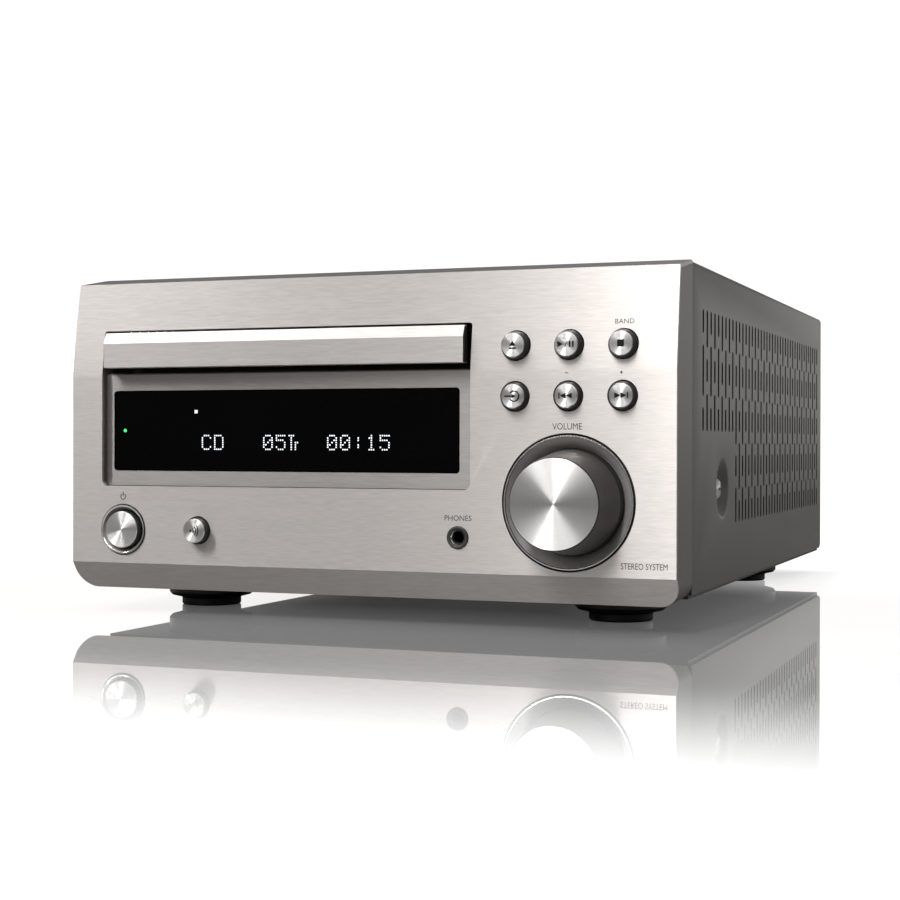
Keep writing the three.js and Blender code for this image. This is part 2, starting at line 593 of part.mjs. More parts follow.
function spindleMotor() {
  const { radius, long, shaft } = SPINDLE;
  const top = traverseTop - TRAVERSE.thick;
  const can = rod(radius, top - long, top, ROUND.medium, 'z', tray.x, DISC.centre, 0);
  const spindle = rod(shaft, top - 0.1, platterTop - TURNTABLE.thick + 1, 12, 'z', tray.x, DISC.centre, 0);
  return join(can, spindle);
}

function turntable() {
  const under = platterTop - TURNTABLE.thick;
  const foot = traverseTop + GAP;
  const { radius, hub, cone, tip, coneHeight } = TURNTABLE;
  const bore = SPINDLE.shaft + GAP;
  return turned([
    [bore, foot], [hub, foot], [hub, under], [radius, under], [radius, platterTop], [cone, platterTop],
    [tip, platterTop + coneHeight], [0, platterTop + coneHeight], [0, under + 1 + GAP], [bore, under + 1 + GAP],
    [bore, foot],
  ], ROUND.medium, 'z', tray.x, DISC.centre, 0);
}

function pickupSled() {
  const { half: w, long, thick, keel, lens, lensBelow, rod: radius, rodOut, rodUp, ear: grip, toe: skid } = SLED;
  const y0 = DISC.centre + SLED.start;
  const z0 = traverseTop + GAP;
  const base = block(tray.x - w, tray.x + w, y0, y0 + long, z0 - keel, z0 + thick);
  const ear = block(tray.x + w - 1, tray.x + rodOut + grip.out, y0 + grip.inset, y0 + long - grip.inset, z0,
    z0 + grip.tall);
  const toe = block(tray.x - rodOut - skid.out, tray.x - w + 1, y0 + skid.front, y0 + skid.back, z0 + skid.z0,
    z0 + skid.z1);
  const turret = rod(lens, z0 + 1, platterTop - lensBelow, ROUND.small, 'z', tray.x, y0 + long / 2, 0);
  const bore = rod(radius + GAP, y0, y0 + long, ROUND.small, 'y', tray.x + rodOut, 0, traverseTop + rodUp);
  return cut(join(base, ear, toe, turret), bore);
}

// ---------------------------------------------------------------- cover, chassis and feet

// The screw dish pressed into the cover's side: a cone down to a flat seat with a screw hole.
function sideDish(side) {
  const { dish, seat, deep, shank, y, z } = SIDE_SCREW;
  const outerFace = half;
  return turned([
    [dish + 1, outerFace], [seat, outerFace - deep], [shank + GAP, outerFace - deep],
    [shank + GAP, outerFace - deep - SHEET], [seat + 0.5, outerFace - deep - SHEET],
    [dish + 1, outerFace - SHEET], [dish + 1, outerFace],
  ].map(([r, d]) => [r, side * d]), ROUND.medium, 'x', 0, y, z);
}

function topCover() {
  const outerShape = roundedRectangle(-half, half, MOULDING.underside, HEIGHT, 0, COVER_CORNER.top);
  const shell = acrossY(outerShape, SEAM + 0.2, COVER_BACK);
  const inside = block(-half + SHEET, half - SHEET, SEAM - 1, rearFace, 0, HEIGHT - SHEET);
  const backHole = block(-half + REAR_LIP, half - REAR_LIP, rearFace - 1, COVER_BACK + 1, 0, HEIGHT - REAR_LIP);
  const corner = shapeOf([[COVER_BACK - COVER_CORNER.rear, MOULDING.underside - 1],
    [COVER_BACK + 1, MOULDING.underside - 1], [COVER_BACK + 1, MOULDING.underside + COVER_CORNER.rear]]);
  const { dish, y, z } = SIDE_SCREW;
  const dishHoles = [-1, 1].map((side) =>
    rod(dish + 1, side * (half - SHEET - 1), side * (half + 1), ROUND.medium, 'x', 0, y, z));
  const screwHoles = [-1, 1].map((side) =>
    rod(REAR_SCREW.shank + GAP, rearFace - 1, COVER_BACK + 1, ROUND.small, 'y',
      side * (half - REAR_LIP / 2), 0, REAR_SCREW.z));
  const bare = cut(shell, inside, backHole, acrossX(corner, -half - 1, half + 1), ...dishHoles, ...screwHoles);
  return join(bare, sideDish(-1), sideDish(1));
}

function baseChassis() {
  const inset = half - SHEET - GAP;
  const [y0, y1] = [SEAM + GAP, rearFace - SHEET - GAP];
  const floor = block(-inset, inset, y0, y1, FOOT.height, floorTop);
  const parts = [floor];
  const { y, z, deep, tab, tabTop } = SIDE_SCREW;
  const tabFace = half - deep - SHEET - 0.1;
  for (const side of [-1, 1]) {
    const span = (a, b) => [side * a, side * b].sort((p, q) => p - q);
    parts.push(block(...span(inset - SHEET, inset), y0, y1, FOOT.height, floorTop + CHASSIS_FLANGE));
    parts.push(block(...span(tabFace - SHEET, inset), y - tab, y + tab, floorTop + CHASSIS_FLANGE - SHEET,
      floorTop + CHASSIS_FLANGE));
    parts.push(block(...span(tabFace - SHEET, tabFace), y - tab, y + tab, floorTop + CHASSIS_FLANGE - SHEET,
      z + tabTop));
  }
  for (const [x, sy] of boardPosts()) {
    parts.push(rod(STANDOFF, floorTop - 0.1, mainBoardZ, 12, 'z', x, sy, 0));
  }
  const screwHole = rod(SIDE_SCREW.shank + 0.2, -half, half, ROUND.small, 'x', 0, y, z);
  return cut(join(...parts), screwHole);
}

function foot(x, y) {
  const { radius, pad, padHeight, height } = FOOT;
  return turned([
    [0, 0], [pad - 0.6, 0], [pad, 0.6], [pad, padHeight], [radius - 1.2, padHeight + 0.6],
    [radius, padHeight + 1.8], [radius, height], [0, height],
  ], ROUND.medium, 'z', x, y, 0);
}

function sideScrew(side) {
  const { head, shank, tall, long, y, z } = SIDE_SCREW;
  const face = half - SIDE_SCREW.deep;
  const top = face + tall;
  return turned([
    [0, face - long], [shank, face - long], [shank, face], [head, face], [head, top - 0.8], [head - 1, top],
    [1.2, top], [1.2, top - 1], [0, top - 1],
  ].map(([r, d]) => [r, side * d]), ROUND.small, 'x', 0, y, z);
}

function rearScrew(side) {
  const { z, head, shank, tall, long } = REAR_SCREW;
  return turned([
    [0, COVER_BACK - long], [shank, COVER_BACK - long], [shank, COVER_BACK], [head, COVER_BACK],
    [head, COVER_BACK + tall - 0.6], [head - 1, COVER_BACK + tall], [1.1, COVER_BACK + tall],
    [1.1, COVER_BACK + tall - 1], [0, COVER_BACK + tall - 1],
  ], ROUND.small, 'y', side * (half - REAR_LIP / 2), 0, z);
}

// ---------------------------------------------------------------- rear panel and terminals

const POSTS = { x: -38, z: 78, across: 28, up: 17, cap: 6, stud: 1.9, cupDepth: 6, wide: 31, tall: 19 };
const SOCKETS = { x: 38, z: 35, pitch: 14, barrel: 4.15, hole: 1.6, half: 13 };
const AERIALS = { x: 78, z: 36, pitch: 18, barrel: 4.7, hole: 1, wide: 18, tall: 9 };
const OPTICAL = { x: 10, z: 30, half: 6.5, port: 4, deep: 13 };
const INLET = { x: -84, z: 30, wide: 12, tall: 7, portWide: 9, portTall: 4.5, deep: 13, pin: 1.2, pinPitch: 8.6 };
const PLATE = 1.2;              // flange of each terminal outside the rear panel

// Each terminal passes through the rear panel in a hole a little larger than its body.
function terminalHoles() {
  const holes = [
    [POSTS.x, POSTS.z, POSTS.wide - 2, POSTS.tall - 2],
    [SOCKETS.x, SOCKETS.z, SOCKETS.half - 1.5, SOCKETS.half - 1.5],
    [AERIALS.x, AERIALS.z, AERIALS.wide - 2, AERIALS.tall - 2],
    [OPTICAL.x, OPTICAL.z, OPTICAL.half - 1, OPTICAL.half - 1],
    [INLET.x, INLET.z, INLET.wide - 1.5, INLET.tall - 1.5],
  ];
  return holes.map(([x, z, w, t]) =>
    block(x - w - GAP, x + w + GAP, rearFace - 10, rearFace + 1, z - t - GAP, z + t + GAP));
}

function rearPanel() {
  const inset = half - SHEET - GAP;
  const plate = block(-inset, inset, rearFace - SHEET, rearFace, floorTop + GAP, HEIGHT - SHEET - GAP);
  const screws = [-1, 1].map((side) => rod(REAR_SCREW.shank + 0.2, rearFace - 5, rearFace + 1, ROUND.small, 'y',
    side * (half - REAR_LIP / 2), 0, REAR_SCREW.z));
  return cut(plate, ...terminalHoles(), ...screws);
}

function flangedBody(x, z, w, t, inset, depth) {
  return join(
    block(x - w, x + w, rearFace, rearFace + PLATE, z - t, z + t),
    block(x - w + inset, x + w - inset, rearFace - depth, rearFace + 0.1, z - t + inset, z + t - inset),
  );
}

const postPlaces = [-0.5, 0.5].flatMap((u) => [-0.5, 0.5].map((v) =>
  [POSTS.x + u * POSTS.across, POSTS.z + v * POSTS.up]));

function speakerTerminals() {
  const { x, z, wide, tall, cupDepth, stud } = POSTS;
  const housing = flangedBody(x, z, wide, tall, 2, cupDepth + 3);
  const cup = block(x - wide + 4, x + wide - 4, rearFace - cupDepth, rearFace + PLATE + 1, z - tall + 4,
    z + tall - 4);
  const studs = postPlaces.map(([px, pz]) =>
    rod(stud, rearFace - cupDepth - 0.1, rearEnd - 2, 12, 'y', px, 0, pz));
  return join(cut(housing, cup), ...studs);
}

function postCap([x, z]) {
  const { cap, stud, cupDepth } = POSTS;
  const [front, back, bore] = [rearFace - cupDepth + 1.5, rearEnd, stud + GAP];
  return turned([
    [bore, front], [cap - 1.5, front], [cap - 1.5, front + 1.5], [cap, front + 2], [cap, back - 0.6],
    [cap - 0.6, back], [bore, back], [bore, front],
  ], ROUND.small, 'y', x, 0, z);
}

function barrel(radius, hole, x, z) {
  const outer = rod(radius, rearFace, rearEnd, ROUND.small, 'y', x, 0, z);
  return { outer, hole: rod(hole, rearEnd - 8, rearEnd + 1, 10, 'y', x, 0, z) };
}

function lineSockets() {
  const { x, z, pitch, barrel: radius, hole, half: w } = SOCKETS;
  const housing = flangedBody(x, z, w, w, 1.5, 14);
  const barrels = [-0.5, 0.5].flatMap((u) => [-0.5, 0.5].map((v) =>
    barrel(radius, hole, x + u * pitch, z + v * pitch)));
  return cut(join(housing, ...barrels.map((b) => b.outer)), ...barrels.map((b) => b.hole));
}

function antennaSockets() {
  const { x, z, pitch, barrel: radius, hole, wide, tall } = AERIALS;
  const housing = flangedBody(x, z, wide, tall, 2, 10);
  const barrels = [-0.5, 0.5].map((u) => barrel(radius, hole, x + u * pitch, z));
  return cut(join(housing, ...barrels.map((b) => b.outer)), ...barrels.map((b) => b.hole));
}

function opticalSocket() {
  const { x, z, half: w, port, deep } = OPTICAL;
  const housing = flangedBody(x, z, w, w, 1, deep + 2);
  return cut(housing, block(x - port, x + port, rearFace - deep, rearFace + PLATE + 1, z - port, z + port));
}

function opticalShutter() {
  const { x, z, port } = OPTICAL;
  const reach = port - GAP;
  return block(x - reach, x + reach, rearFace, rearFace + 0.8, z - reach, z + reach);
}

function acInlet() {
  const { x, z, wide, tall, portWide, portTall, deep, pin, pinPitch } = INLET;
  const housing = flangedBody(x, z, wide, tall, 1.5, deep + 4);
  const port = acrossY(roundedRectangle(x - portWide, x + portWide, z - portTall, z + portTall, 3.5, 3.5),
    rearFace - deep, rearFace + PLATE + 1);
  const pins = [-0.5, 0.5].map((u) =>
    rod(pin, rearFace - deep - 0.1, rearFace - 6, 10, 'y', x + u * pinPitch, 0, z));
  return join(cut(housing, port), ...pins);
}

// ---------------------------------------------------------------- boards, supply and amplifier

const MAIN_BOARD = { x0: -28, side: 7, y0: 52, back: 11, lift: 9.4 };
const CHIP = { x: 0, y: 110, wide: 18, tall: 1.8 };
const HEATSINK = { x: 62, y: 70, fins: 12, pitch: 8, fin: 2, spine: 4, reach: 24, tall: 50 };
const CAPACITOR = { places: { left: -8, right: 22 }, before: 78, radius: 12.5, tall: 35, edge: 0.5 };
const TUNER = { x0: 58, x1: 96, long: 38, behind: 4, tall: 4.5 };
const TRANSFORMER = { x: -66, before: 66, core: { half: 29, deep: 20, tall: 48 },
  coil: { half: 18, deep: 29, low: 8, top: 40 } };
const mainBoardZ = floorTop + MAIN_BOARD.lift;
const boardTop = mainBoardZ + BOARD;
const boardBack = COVER_BACK - MAIN_BOARD.back;

function boardPosts() {
  const [x0, x1] = [MAIN_BOARD.x0 + 5, half - MAIN_BOARD.side - 5];
  return [[x0, MAIN_BOARD.y0 + 6], [x1, MAIN_BOARD.y0 + 6], [x0, boardBack - 18], [x1, boardBack - 30]];
}

function mainBoard() {
  const plate = block(MAIN_BOARD.x0, half - MAIN_BOARD.side, MAIN_BOARD.y0, boardBack, mainBoardZ, boardTop);
  const wallX = tray.x + tray.half + LOADER.side;
  const leg = block(wallX - 2, wallX + LOADER.wall + 2, loaderBack - LOADER.rear, loaderBack + 2, 0, HEIGHT);
  const chip = block(CHIP.x, CHIP.x + CHIP.wide, CHIP.y, CHIP.y + CHIP.wide, boardTop - 0.1, boardTop + CHIP.tall);
  return join(cut(plate, leg), chip);
}

// A comb of cooling fins standing on the board.
function amplifierHeatsink() {
  const { x, y, fins, pitch, fin, spine, reach, tall } = HEATSINK;
  const points = [[x, y], [x + reach, y]];
  for (let i = 0; i < fins - 1; i += 1) {
    const at = y + i * pitch;
    points.push([x + reach, at + fin], [x + spine, at + fin], [x + spine, at + pitch], [x + reach, at + pitch]);
  }
  const end = y + (fins - 1) * pitch + fin;
  points.push([x + reach, end], [x, end]);
  return acrossZ(shapeOf(points), boardTop, boardTop + tall);
}

function filterCapacitor(x) {
  const { radius, tall, edge, before } = CAPACITOR;
  return turned([
    [0, boardTop], [radius - edge, boardTop], [radius, boardTop + edge], [radius, boardTop + tall - 2 * edge],
    [radius - edge, boardTop + tall], [0, boardTop + tall],
  ], ROUND.medium, 'z', x, COVER_BACK - before, 0);
}

function tunerModule() {
  const { x0, x1, long, behind, tall } = TUNER;
  return block(x0, x1, boardBack - behind - long, boardBack - behind, boardTop, boardTop + tall);
}

function powerTransformer() {
  const { x, before, core, coil } = TRANSFORMER;
  const y = COVER_BACK - before;
  return join(
    block(x - core.half, x + core.half, y - core.deep, y + core.deep, floorTop, floorTop + core.tall),
    block(x - coil.half, x + coil.half, y - coil.deep, y + coil.deep, floorTop + coil.low, floorTop + coil.top),
  );
}

// ---------------------------------------------------------------- assembly

function finish(color, roughness, metalness) {
  return () => new THREE.MeshStandardMaterial({ color, roughness, metalness });
}

const brushed = finish(0xcfc8c3, 0.35, 1);
const spun = finish(0xd8d4d0, 0.25, 1);
const cover = finish(0x5d5955, 0.5, 0.6);
const moulding = finish(0x4a4745, 0.5, 0);
const black = finish(0x141414, 0.4, 0);
const glassBlack = finish(0x050505, 0.05, 0);
const rubber = finish(0x101010, 0.8, 0);
const zinc = finish(0xb4b4b0, 0.4, 1);
const boardGreen = finish(0x1f5a35, 0.6, 0);
const trayBlack = finish(0x1c1c1e, 0.5, 0);
const nylon = finish(0xe8e4d8, 0.5, 0);
const laminated = finish(0x6a6258, 0.6, 0.5);

const system = new THREE.Group();
system.name = 'mini_hifi_system';
system.position.y = -(rearEnd - KNOB.out) / 2;

function add(name, body, material) {
  const mesh = new THREE.Mesh(geometryOf(body), material());
  mesh.name = name;
  system.add(mesh);
}

add('front_fascia', frontFascia(), brushed);
add('fascia_frame', fasciaFrame(), moulding);
add('display_surround', displaySurround(), brushed);
add('display_window', displayWindow(), glassBlack);
add('display_module', displayModule(), black);
add('front_board', frontBoard(), boardGreen);

add('power_ring', powerRing(), spun);
add('power_button', roundButton(POWER.cap - 0.2, POWER.cap, POWER.proud, controls[1].x, POWER.height,
  MOULDING.back + FLANGE + 2 * GAP), spun);
add('wireless_button', roundButton(PAIR_KEY.face, PAIR_KEY.cap, PAIR_KEY.proud, controls[2].x,
  PAIR_KEY.height, MOULDING.back + GAP), spun);
for (const { name, x, z } of keys) {
  add(name, roundButton(KEY.face, KEY.cap, KEY.proud, x, z, MOULDING.back + GAP), spun);
}
add('volume_ring', volumeRing(), spun);
add('volume_knob', volumeKnob(), spun);
add('encoder_shaft', encoderShaft(), zinc);
add('volume_encoder', volumeEncoder(), zinc);
add('phones_jack', phonesJack(), black);

add('tray_door', trayDoor(), brushed);
add('disc_tray', discTray(), trayBlack);
add('loader_frame', loaderFrame(), trayBlack);
add('loading_gear', loadingGear(), nylon);
add('motor_pinion', motorPinion(), nylon);
add('loading_motor', loadingMotor(), zinc);
add('clamp_bridge', clampBridge(), zinc);
add('clamp_puck', clampPuck(), trayBlack);
add('traverse_plate', traversePlate(), zinc);
add('guide_rod', guideRod(), zinc);
add('spindle_motor', spindleMotor(), zinc);
add('turntable', turntable(), trayBlack);
add('pickup_sled', pickupSled(), trayBlack);

add('top_cover', topCover(), cover);
add('base_chassis', baseChassis(), zinc);
for (const [side, sign] of [['left', -1], ['right', 1]]) {
  const rearX = sign * (half - FOOT.backIn);
  add(`front_${side}_foot`, foot(sign * (half - FOOT.frontIn), FOOT.front), rubber);
  add(`rear_${side}_foot`, foot(rearX, COVER_BACK - FOOT.back), rubber);
  add(`${side}_side_screw`, sideScrew(sign), zinc);
  add(`${side}_rear_screw`, rearScrew(sign), zinc);
}

add('rear_panel', rearPanel(), cover);
add('speaker_terminals', speakerTerminals(), black);
postPlaces.forEach((place, i) => add(`post_cap_${i + 1}`, postCap(place), trayBlack));
add('line_sockets', lineSockets(), black);
add('antenna_sockets', antennaSockets(), zinc);
add('optical_socket', opticalSocket(), black);
add('optical_shutter', opticalShutter(), black);
add('ac_inlet', acInlet(), black);

add('main_board', mainBoard(), boardGreen);
add('amplifier_heatsink', amplifierHeatsink(), zinc);
for (const [side, x] of Object.entries(CAPACITOR.places)) add(`${side}_capacitor`, filterCapacitor(x), black);
add('tuner_module', tunerModule(), zinc);
add('power_transformer', powerTransformer(), laminated);

export default system;
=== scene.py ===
"""The looks of the mini hifi system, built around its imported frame.

Lengths in the building code are millimetres, with y = 0 at the plane of the front panel, as the part's own
source has them. mesh_from() turns them into metres and place() puts them in the shared frame.
"""
import math

import bmesh
import bpy
from mathutils import Matrix, Vector

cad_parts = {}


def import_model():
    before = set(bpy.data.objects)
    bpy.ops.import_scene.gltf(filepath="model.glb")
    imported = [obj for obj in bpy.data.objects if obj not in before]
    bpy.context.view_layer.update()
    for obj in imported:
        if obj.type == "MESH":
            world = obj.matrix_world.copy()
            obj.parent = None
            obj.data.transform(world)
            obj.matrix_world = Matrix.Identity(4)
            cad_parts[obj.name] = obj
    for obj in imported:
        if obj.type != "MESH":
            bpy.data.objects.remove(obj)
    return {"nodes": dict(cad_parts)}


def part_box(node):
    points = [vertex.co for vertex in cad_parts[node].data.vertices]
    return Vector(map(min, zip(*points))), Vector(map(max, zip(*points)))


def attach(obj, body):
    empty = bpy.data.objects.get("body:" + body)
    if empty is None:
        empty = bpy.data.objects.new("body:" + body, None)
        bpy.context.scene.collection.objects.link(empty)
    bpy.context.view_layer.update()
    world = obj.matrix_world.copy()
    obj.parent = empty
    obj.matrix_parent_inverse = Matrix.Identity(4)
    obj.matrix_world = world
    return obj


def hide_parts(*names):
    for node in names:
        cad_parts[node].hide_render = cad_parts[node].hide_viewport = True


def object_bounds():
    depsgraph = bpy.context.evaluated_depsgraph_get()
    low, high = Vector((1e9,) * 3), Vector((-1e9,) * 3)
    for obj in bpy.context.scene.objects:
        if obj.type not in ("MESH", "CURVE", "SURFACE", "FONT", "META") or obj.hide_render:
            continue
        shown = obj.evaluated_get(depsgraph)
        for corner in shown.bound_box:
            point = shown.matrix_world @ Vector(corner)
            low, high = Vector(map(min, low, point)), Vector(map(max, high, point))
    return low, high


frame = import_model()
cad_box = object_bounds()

scene = bpy.context.scene

# ------------------------------------------------------------------ places, from the frame

MM = 0.001
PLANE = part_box("front_fascia")[0][1]


class Box:
    """A CAD node's box in millimetres, with y measured from the front panel's plane."""

    def __init__(self, node):
        shift = Vector((0, PLANE, 0))
        self.low, self.high = [(Vector(corner) - shift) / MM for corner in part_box(node)]
        self.middle = (self.low + self.high) / 2
        self.wide = (self.high.x - self.low.x) / 2
        self.tall = (self.high.z - self.low.z) / 2

    def outline(self, lower, upper, room=0.0):
        """Its outline seen from the front, with rounded lower and upper corners and some room round it."""
        low, high = self.low, self.high
        return rectangle(low.x - room, high.x + room, low.z - room, high.z + room, lower, upper)


def centre(node):
    return Box(node).middle


def on_panel(node):
    """The point of the panel's plane in front of a node's middle."""
    middle = centre(node)
    return middle.x, 0, middle.z


def place(x, y, z):
    return Vector((x * MM, PLANE + y * MM, z * MM))


fascia = Box("front_fascia")
HALF = fascia.high.x
BOTTOM = fascia.low.z
TOP = fascia.high.z
SEAM = fascia.high.y

# the panel's section, window and holes, as the part has them
BEVEL = {"depth": 6, "top": 17.3}
CROWN = {"start": 35, "lean": 4.4, "drop": 3.1, "power": 1.15, "steps": 28}
SKIN = 1.2
CORNER = 6.5
SLOT_HEIGHT = 14.9
WINDOW_FIT = 0.15
HOLES = {"volume_ring": 21.3, "power_ring": 8.6, "wireless_button": 4.7, "phones_jack": 3.65}
KEY_HOLE = 4.8
KEYS = {
    "eject": "eject_button", "play_pause": "play_pause_button", "stop": "stop_button",
    "source": "source_button", "previous": "previous_button", "next": "next_button",
}
# where the flanges of the controls begin behind the panel, and how thick they are
HOLD = 7.3
FLANGE = 1

# ------------------------------------------------------------------ mesh helpers

NEARLY_STRAIGHT = math.radians(172)


def soften(points, radius, steps=3):
    """Rounds the corners of a line of 2D points, apart from its ends and its nearly straight corners."""
    corners = [Vector(point) for point in points]
    result = [corners[0]]
    for last, here, following in zip(corners, corners[1:], corners[2:]):
        before, after = last - here, following - here
        angle = before.angle(after)
        if angle > NEARLY_STRAIGHT:
            result.append(here)
            continue
        reach = min(radius / math.tan(angle / 2), 0.45 * before.length, 0.45 * after.length)
        start = here + before.normalized() * reach
        end = here + after.normalized() * reach
        for step in range(steps + 1):
            t = step / steps
            result.append(start.lerp(here, t).lerp(here.lerp(end, t), t))
    return [tuple(point) for point in result + [corners[-1]]]


def along(axis, a, b, distance):
    """A point at a distance along an axis, and at a and b on the other two."""
    return {"x": (distance, a, b), "y": (a, distance, b), "z": (a, b, distance)}[axis]


def oriented(bm):
    """Makes the faces of a closed shape point outwards."""
    bmesh.ops.recalc_face_normals(bm, faces=bm.faces)
    if bm.calc_volume(signed=True) < 0:
        bmesh.ops.reverse_faces(bm, faces=bm.faces)
    return bm


def lathe(profile, segments, axis="y", paint=None, at=(0, 0, 0)):
    """A bmesh turned from [radius, distance] points about an axis, and moved to a place. The profile starts
    and ends on the axis or closes on itself. paint gives the material number of each of its stretches."""
    bm = bmesh.new()
    rings = []
    for radius, distance in profile:
        ring = []
        for k in range(segments if radius > 1e-6 else 1):
            angle = 2 * math.pi * k / segments
            a, b = radius * math.cos(angle), radius * math.sin(angle)
            ring.append(bm.verts.new(along(axis, a, b, distance)))
        rings.append(ring)
    open_ended = len(rings[0]) == 1 and len(rings[-1]) == 1
    pairs = list(zip(rings, rings[1:]))
    if not open_ended:
        pairs.append((rings[-1], rings[0]))
    for number, (low, high) in enumerate(pairs):
        for k in range(segments):
            n = (k + 1) % segments
            if len(low) == 1:
                corners = [low[0], high[n], high[k]]
            elif len(high) == 1:
                corners = [low[k], low[n], high[0]]
            else:
                corners = [low[k], low[n], high[n], high[k]]
            face = bm.faces.new(corners)
            face.material_index = paint[number] if paint else 0
    bm.transform(Matrix.Translation(at))
    return oriented(bm)


def rod(radius, start, end, segments, axis="y", at=(0, 0, 0)):
    return lathe([(0, start), (radius, start), (radius, end), (0, end)], segments, axis, at=at)


def prisms(outlines, start, end, axis="y"):
    """A bmesh of 2D outlines carried along an axis: (y, z) along x, (x, z) along y and (x, y) along z."""
    bm = bmesh.new()
    for outline in outlines:
        ends = [[bm.verts.new(along(axis, a, b, d)) for a, b in outline] for d in (start, end)]
        bm.faces.new(ends[0])
        bm.faces.new(list(reversed(ends[1])))
        count = len(outline)
        for k in range(count):
            n = (k + 1) % count
            bm.faces.new([ends[0][k], ends[0][n], ends[1][n], ends[1][k]])
    return oriented(bm)


def prism(outline, start, end, axis="y"):
    return prisms([outline], start, end, axis)


def arc(cx, cz, radius, start, end, steps=12):
    """Points on an arc between two angles in degrees."""
    angles = [math.radians(start + (end - start) * k / steps) for k in range(steps + 1)]
    return [(cx + radius * math.cos(a), cz + radius * math.sin(a)) for a in angles]


def rectangle(x0, x1, z0, z1, lower=0.0, upper=0.0, steps=10):
    """A rectangle's outline with rounded lower and upper corners."""
    points = []
    corners = ((x1, z0, lower, -90), (x1, z1, upper, 0), (x0, z1, upper, 90), (x0, z0, lower, 180))
    for cx, cz, r, start in corners:
        if r <= 0:
            points.append((cx, cz))
            continue
        mx = cx - r if cx == x1 else cx + r
        mz = cz + r if cz == z0 else cz - r
        points += arc(mx, mz, r, start, start + 90, steps)
    return points


def centred(wide, tall, corner=0.0, steps=10):
    """A rectangle's outline round the origin, from half its width and height."""
    return rectangle(-wide, wide, -tall, tall, corner, corner, steps)


def raw_mesh(bm, name):
    mesh = bpy.data.meshes.new(name)
    bm.to_mesh(mesh)
    bm.free()
    return mesh


def mesh_from(bm, name):
    """A Blender mesh, in metres, from a bmesh in millimetres."""
    bm.transform(Matrix.Diagonal((MM, MM, MM, 1)))
    return raw_mesh(bm, name)


def linked(name, data):
    """A new object in the scene."""
    obj = bpy.data.objects.new(name, data)
    scene.collection.objects.link(obj)
    return obj


def merged(*shapes):
    """Several bmeshes as one, side by side."""
    first = shapes[0]
    for other in shapes[1:]:
        holder = raw_mesh(other, "holder")
        first.from_mesh(holder)
        bpy.data.meshes.remove(holder)
    return first


def carved(body, *steps):
    """body after boolean steps, each ("DIFFERENCE", tool), ("UNION", tool) or ("INTERSECT", tool)."""
    main = linked("carving", raw_mesh(body, "carving"))
    tools = []
    for operation, tool in steps:
        other = linked("carving", raw_mesh(tool, "carving"))
        tools.append(other)
        modifier = main.modifiers.new(operation, "BOOLEAN")
        modifier.operation = operation
        modifier.solver = "MANIFOLD"
        modifier.object = other
    depsgraph = bpy.context.evaluated_depsgraph_get()
    result = bmesh.new()
    result.from_mesh(main.evaluated_get(depsgraph).to_mesh())
    for obj in [main, *tools]:
        mesh = obj.data
        bpy.data.objects.remove(obj)
        bpy.data.meshes.remove(mesh)
    bmesh.ops.dissolve_limit(result, angle_limit=math.radians(0.5), verts=result.verts, edges=result.edges)
    return result


def cut(body, *tools):
    """body with the tools taken away from it."""
    return carved(body, *(("DIFFERENCE", tool) for tool in tools))


def grain_map(mesh):
    """A UV map whose U runs along the brushing: along X, or along Y where a face looks to the side."""
    layer = mesh.uv_layers.new(name="grain")
    for face in mesh.polygons:
        sideways = abs(face.normal.x) > 0.7
        for loop in face.loop_indices:
            co = mesh.vertices[mesh.loops[loop].vertex_index].co
            layer.data[loop].uv = (co.y, co.z) if sideways else (co.x, co.z + co.y)


def piece(name, bm, body, looks, at=(0, 0, 0), replaced=(), sharp=32, bevel=0.0, grain=False):
    """Makes one visible piece: its mesh, place, finish, body and the CAD nodes that it stands for.
    looks is one material, or a list in the order of the mesh's material numbers."""
    mesh = mesh_from(bm, name)
    for look in looks if isinstance(looks, list) else [looks]:
        mesh.materials.append(look)
    if grain:
        grain_map(mesh)
    mesh.shade_smooth()
    mesh.set_sharp_from_angle(angle=math.radians(sharp))
    obj = linked(name, mesh)
    obj.location = place(*at)
    if bevel > 0:
        rounding = obj.modifiers.new("rounding", "BEVEL")
        rounding.width = bevel * MM
        rounding.segments = 2
        rounding.limit_method = "ANGLE"
        rounding.angle_limit = math.radians(30)
        rounding.harden_normals = True
    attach(obj, body)
    if replaced:
        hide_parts(*replaced)


def stand_in(name, node, bm, looks, body="root", bevel=0.0):
    """A piece built round its own axis that stands for one node, in that node's place on the panel."""
    piece(name, bm, body, looks, at=on_panel(node), replaced=[node], bevel=bevel)


# ------------------------------------------------------------------ materials


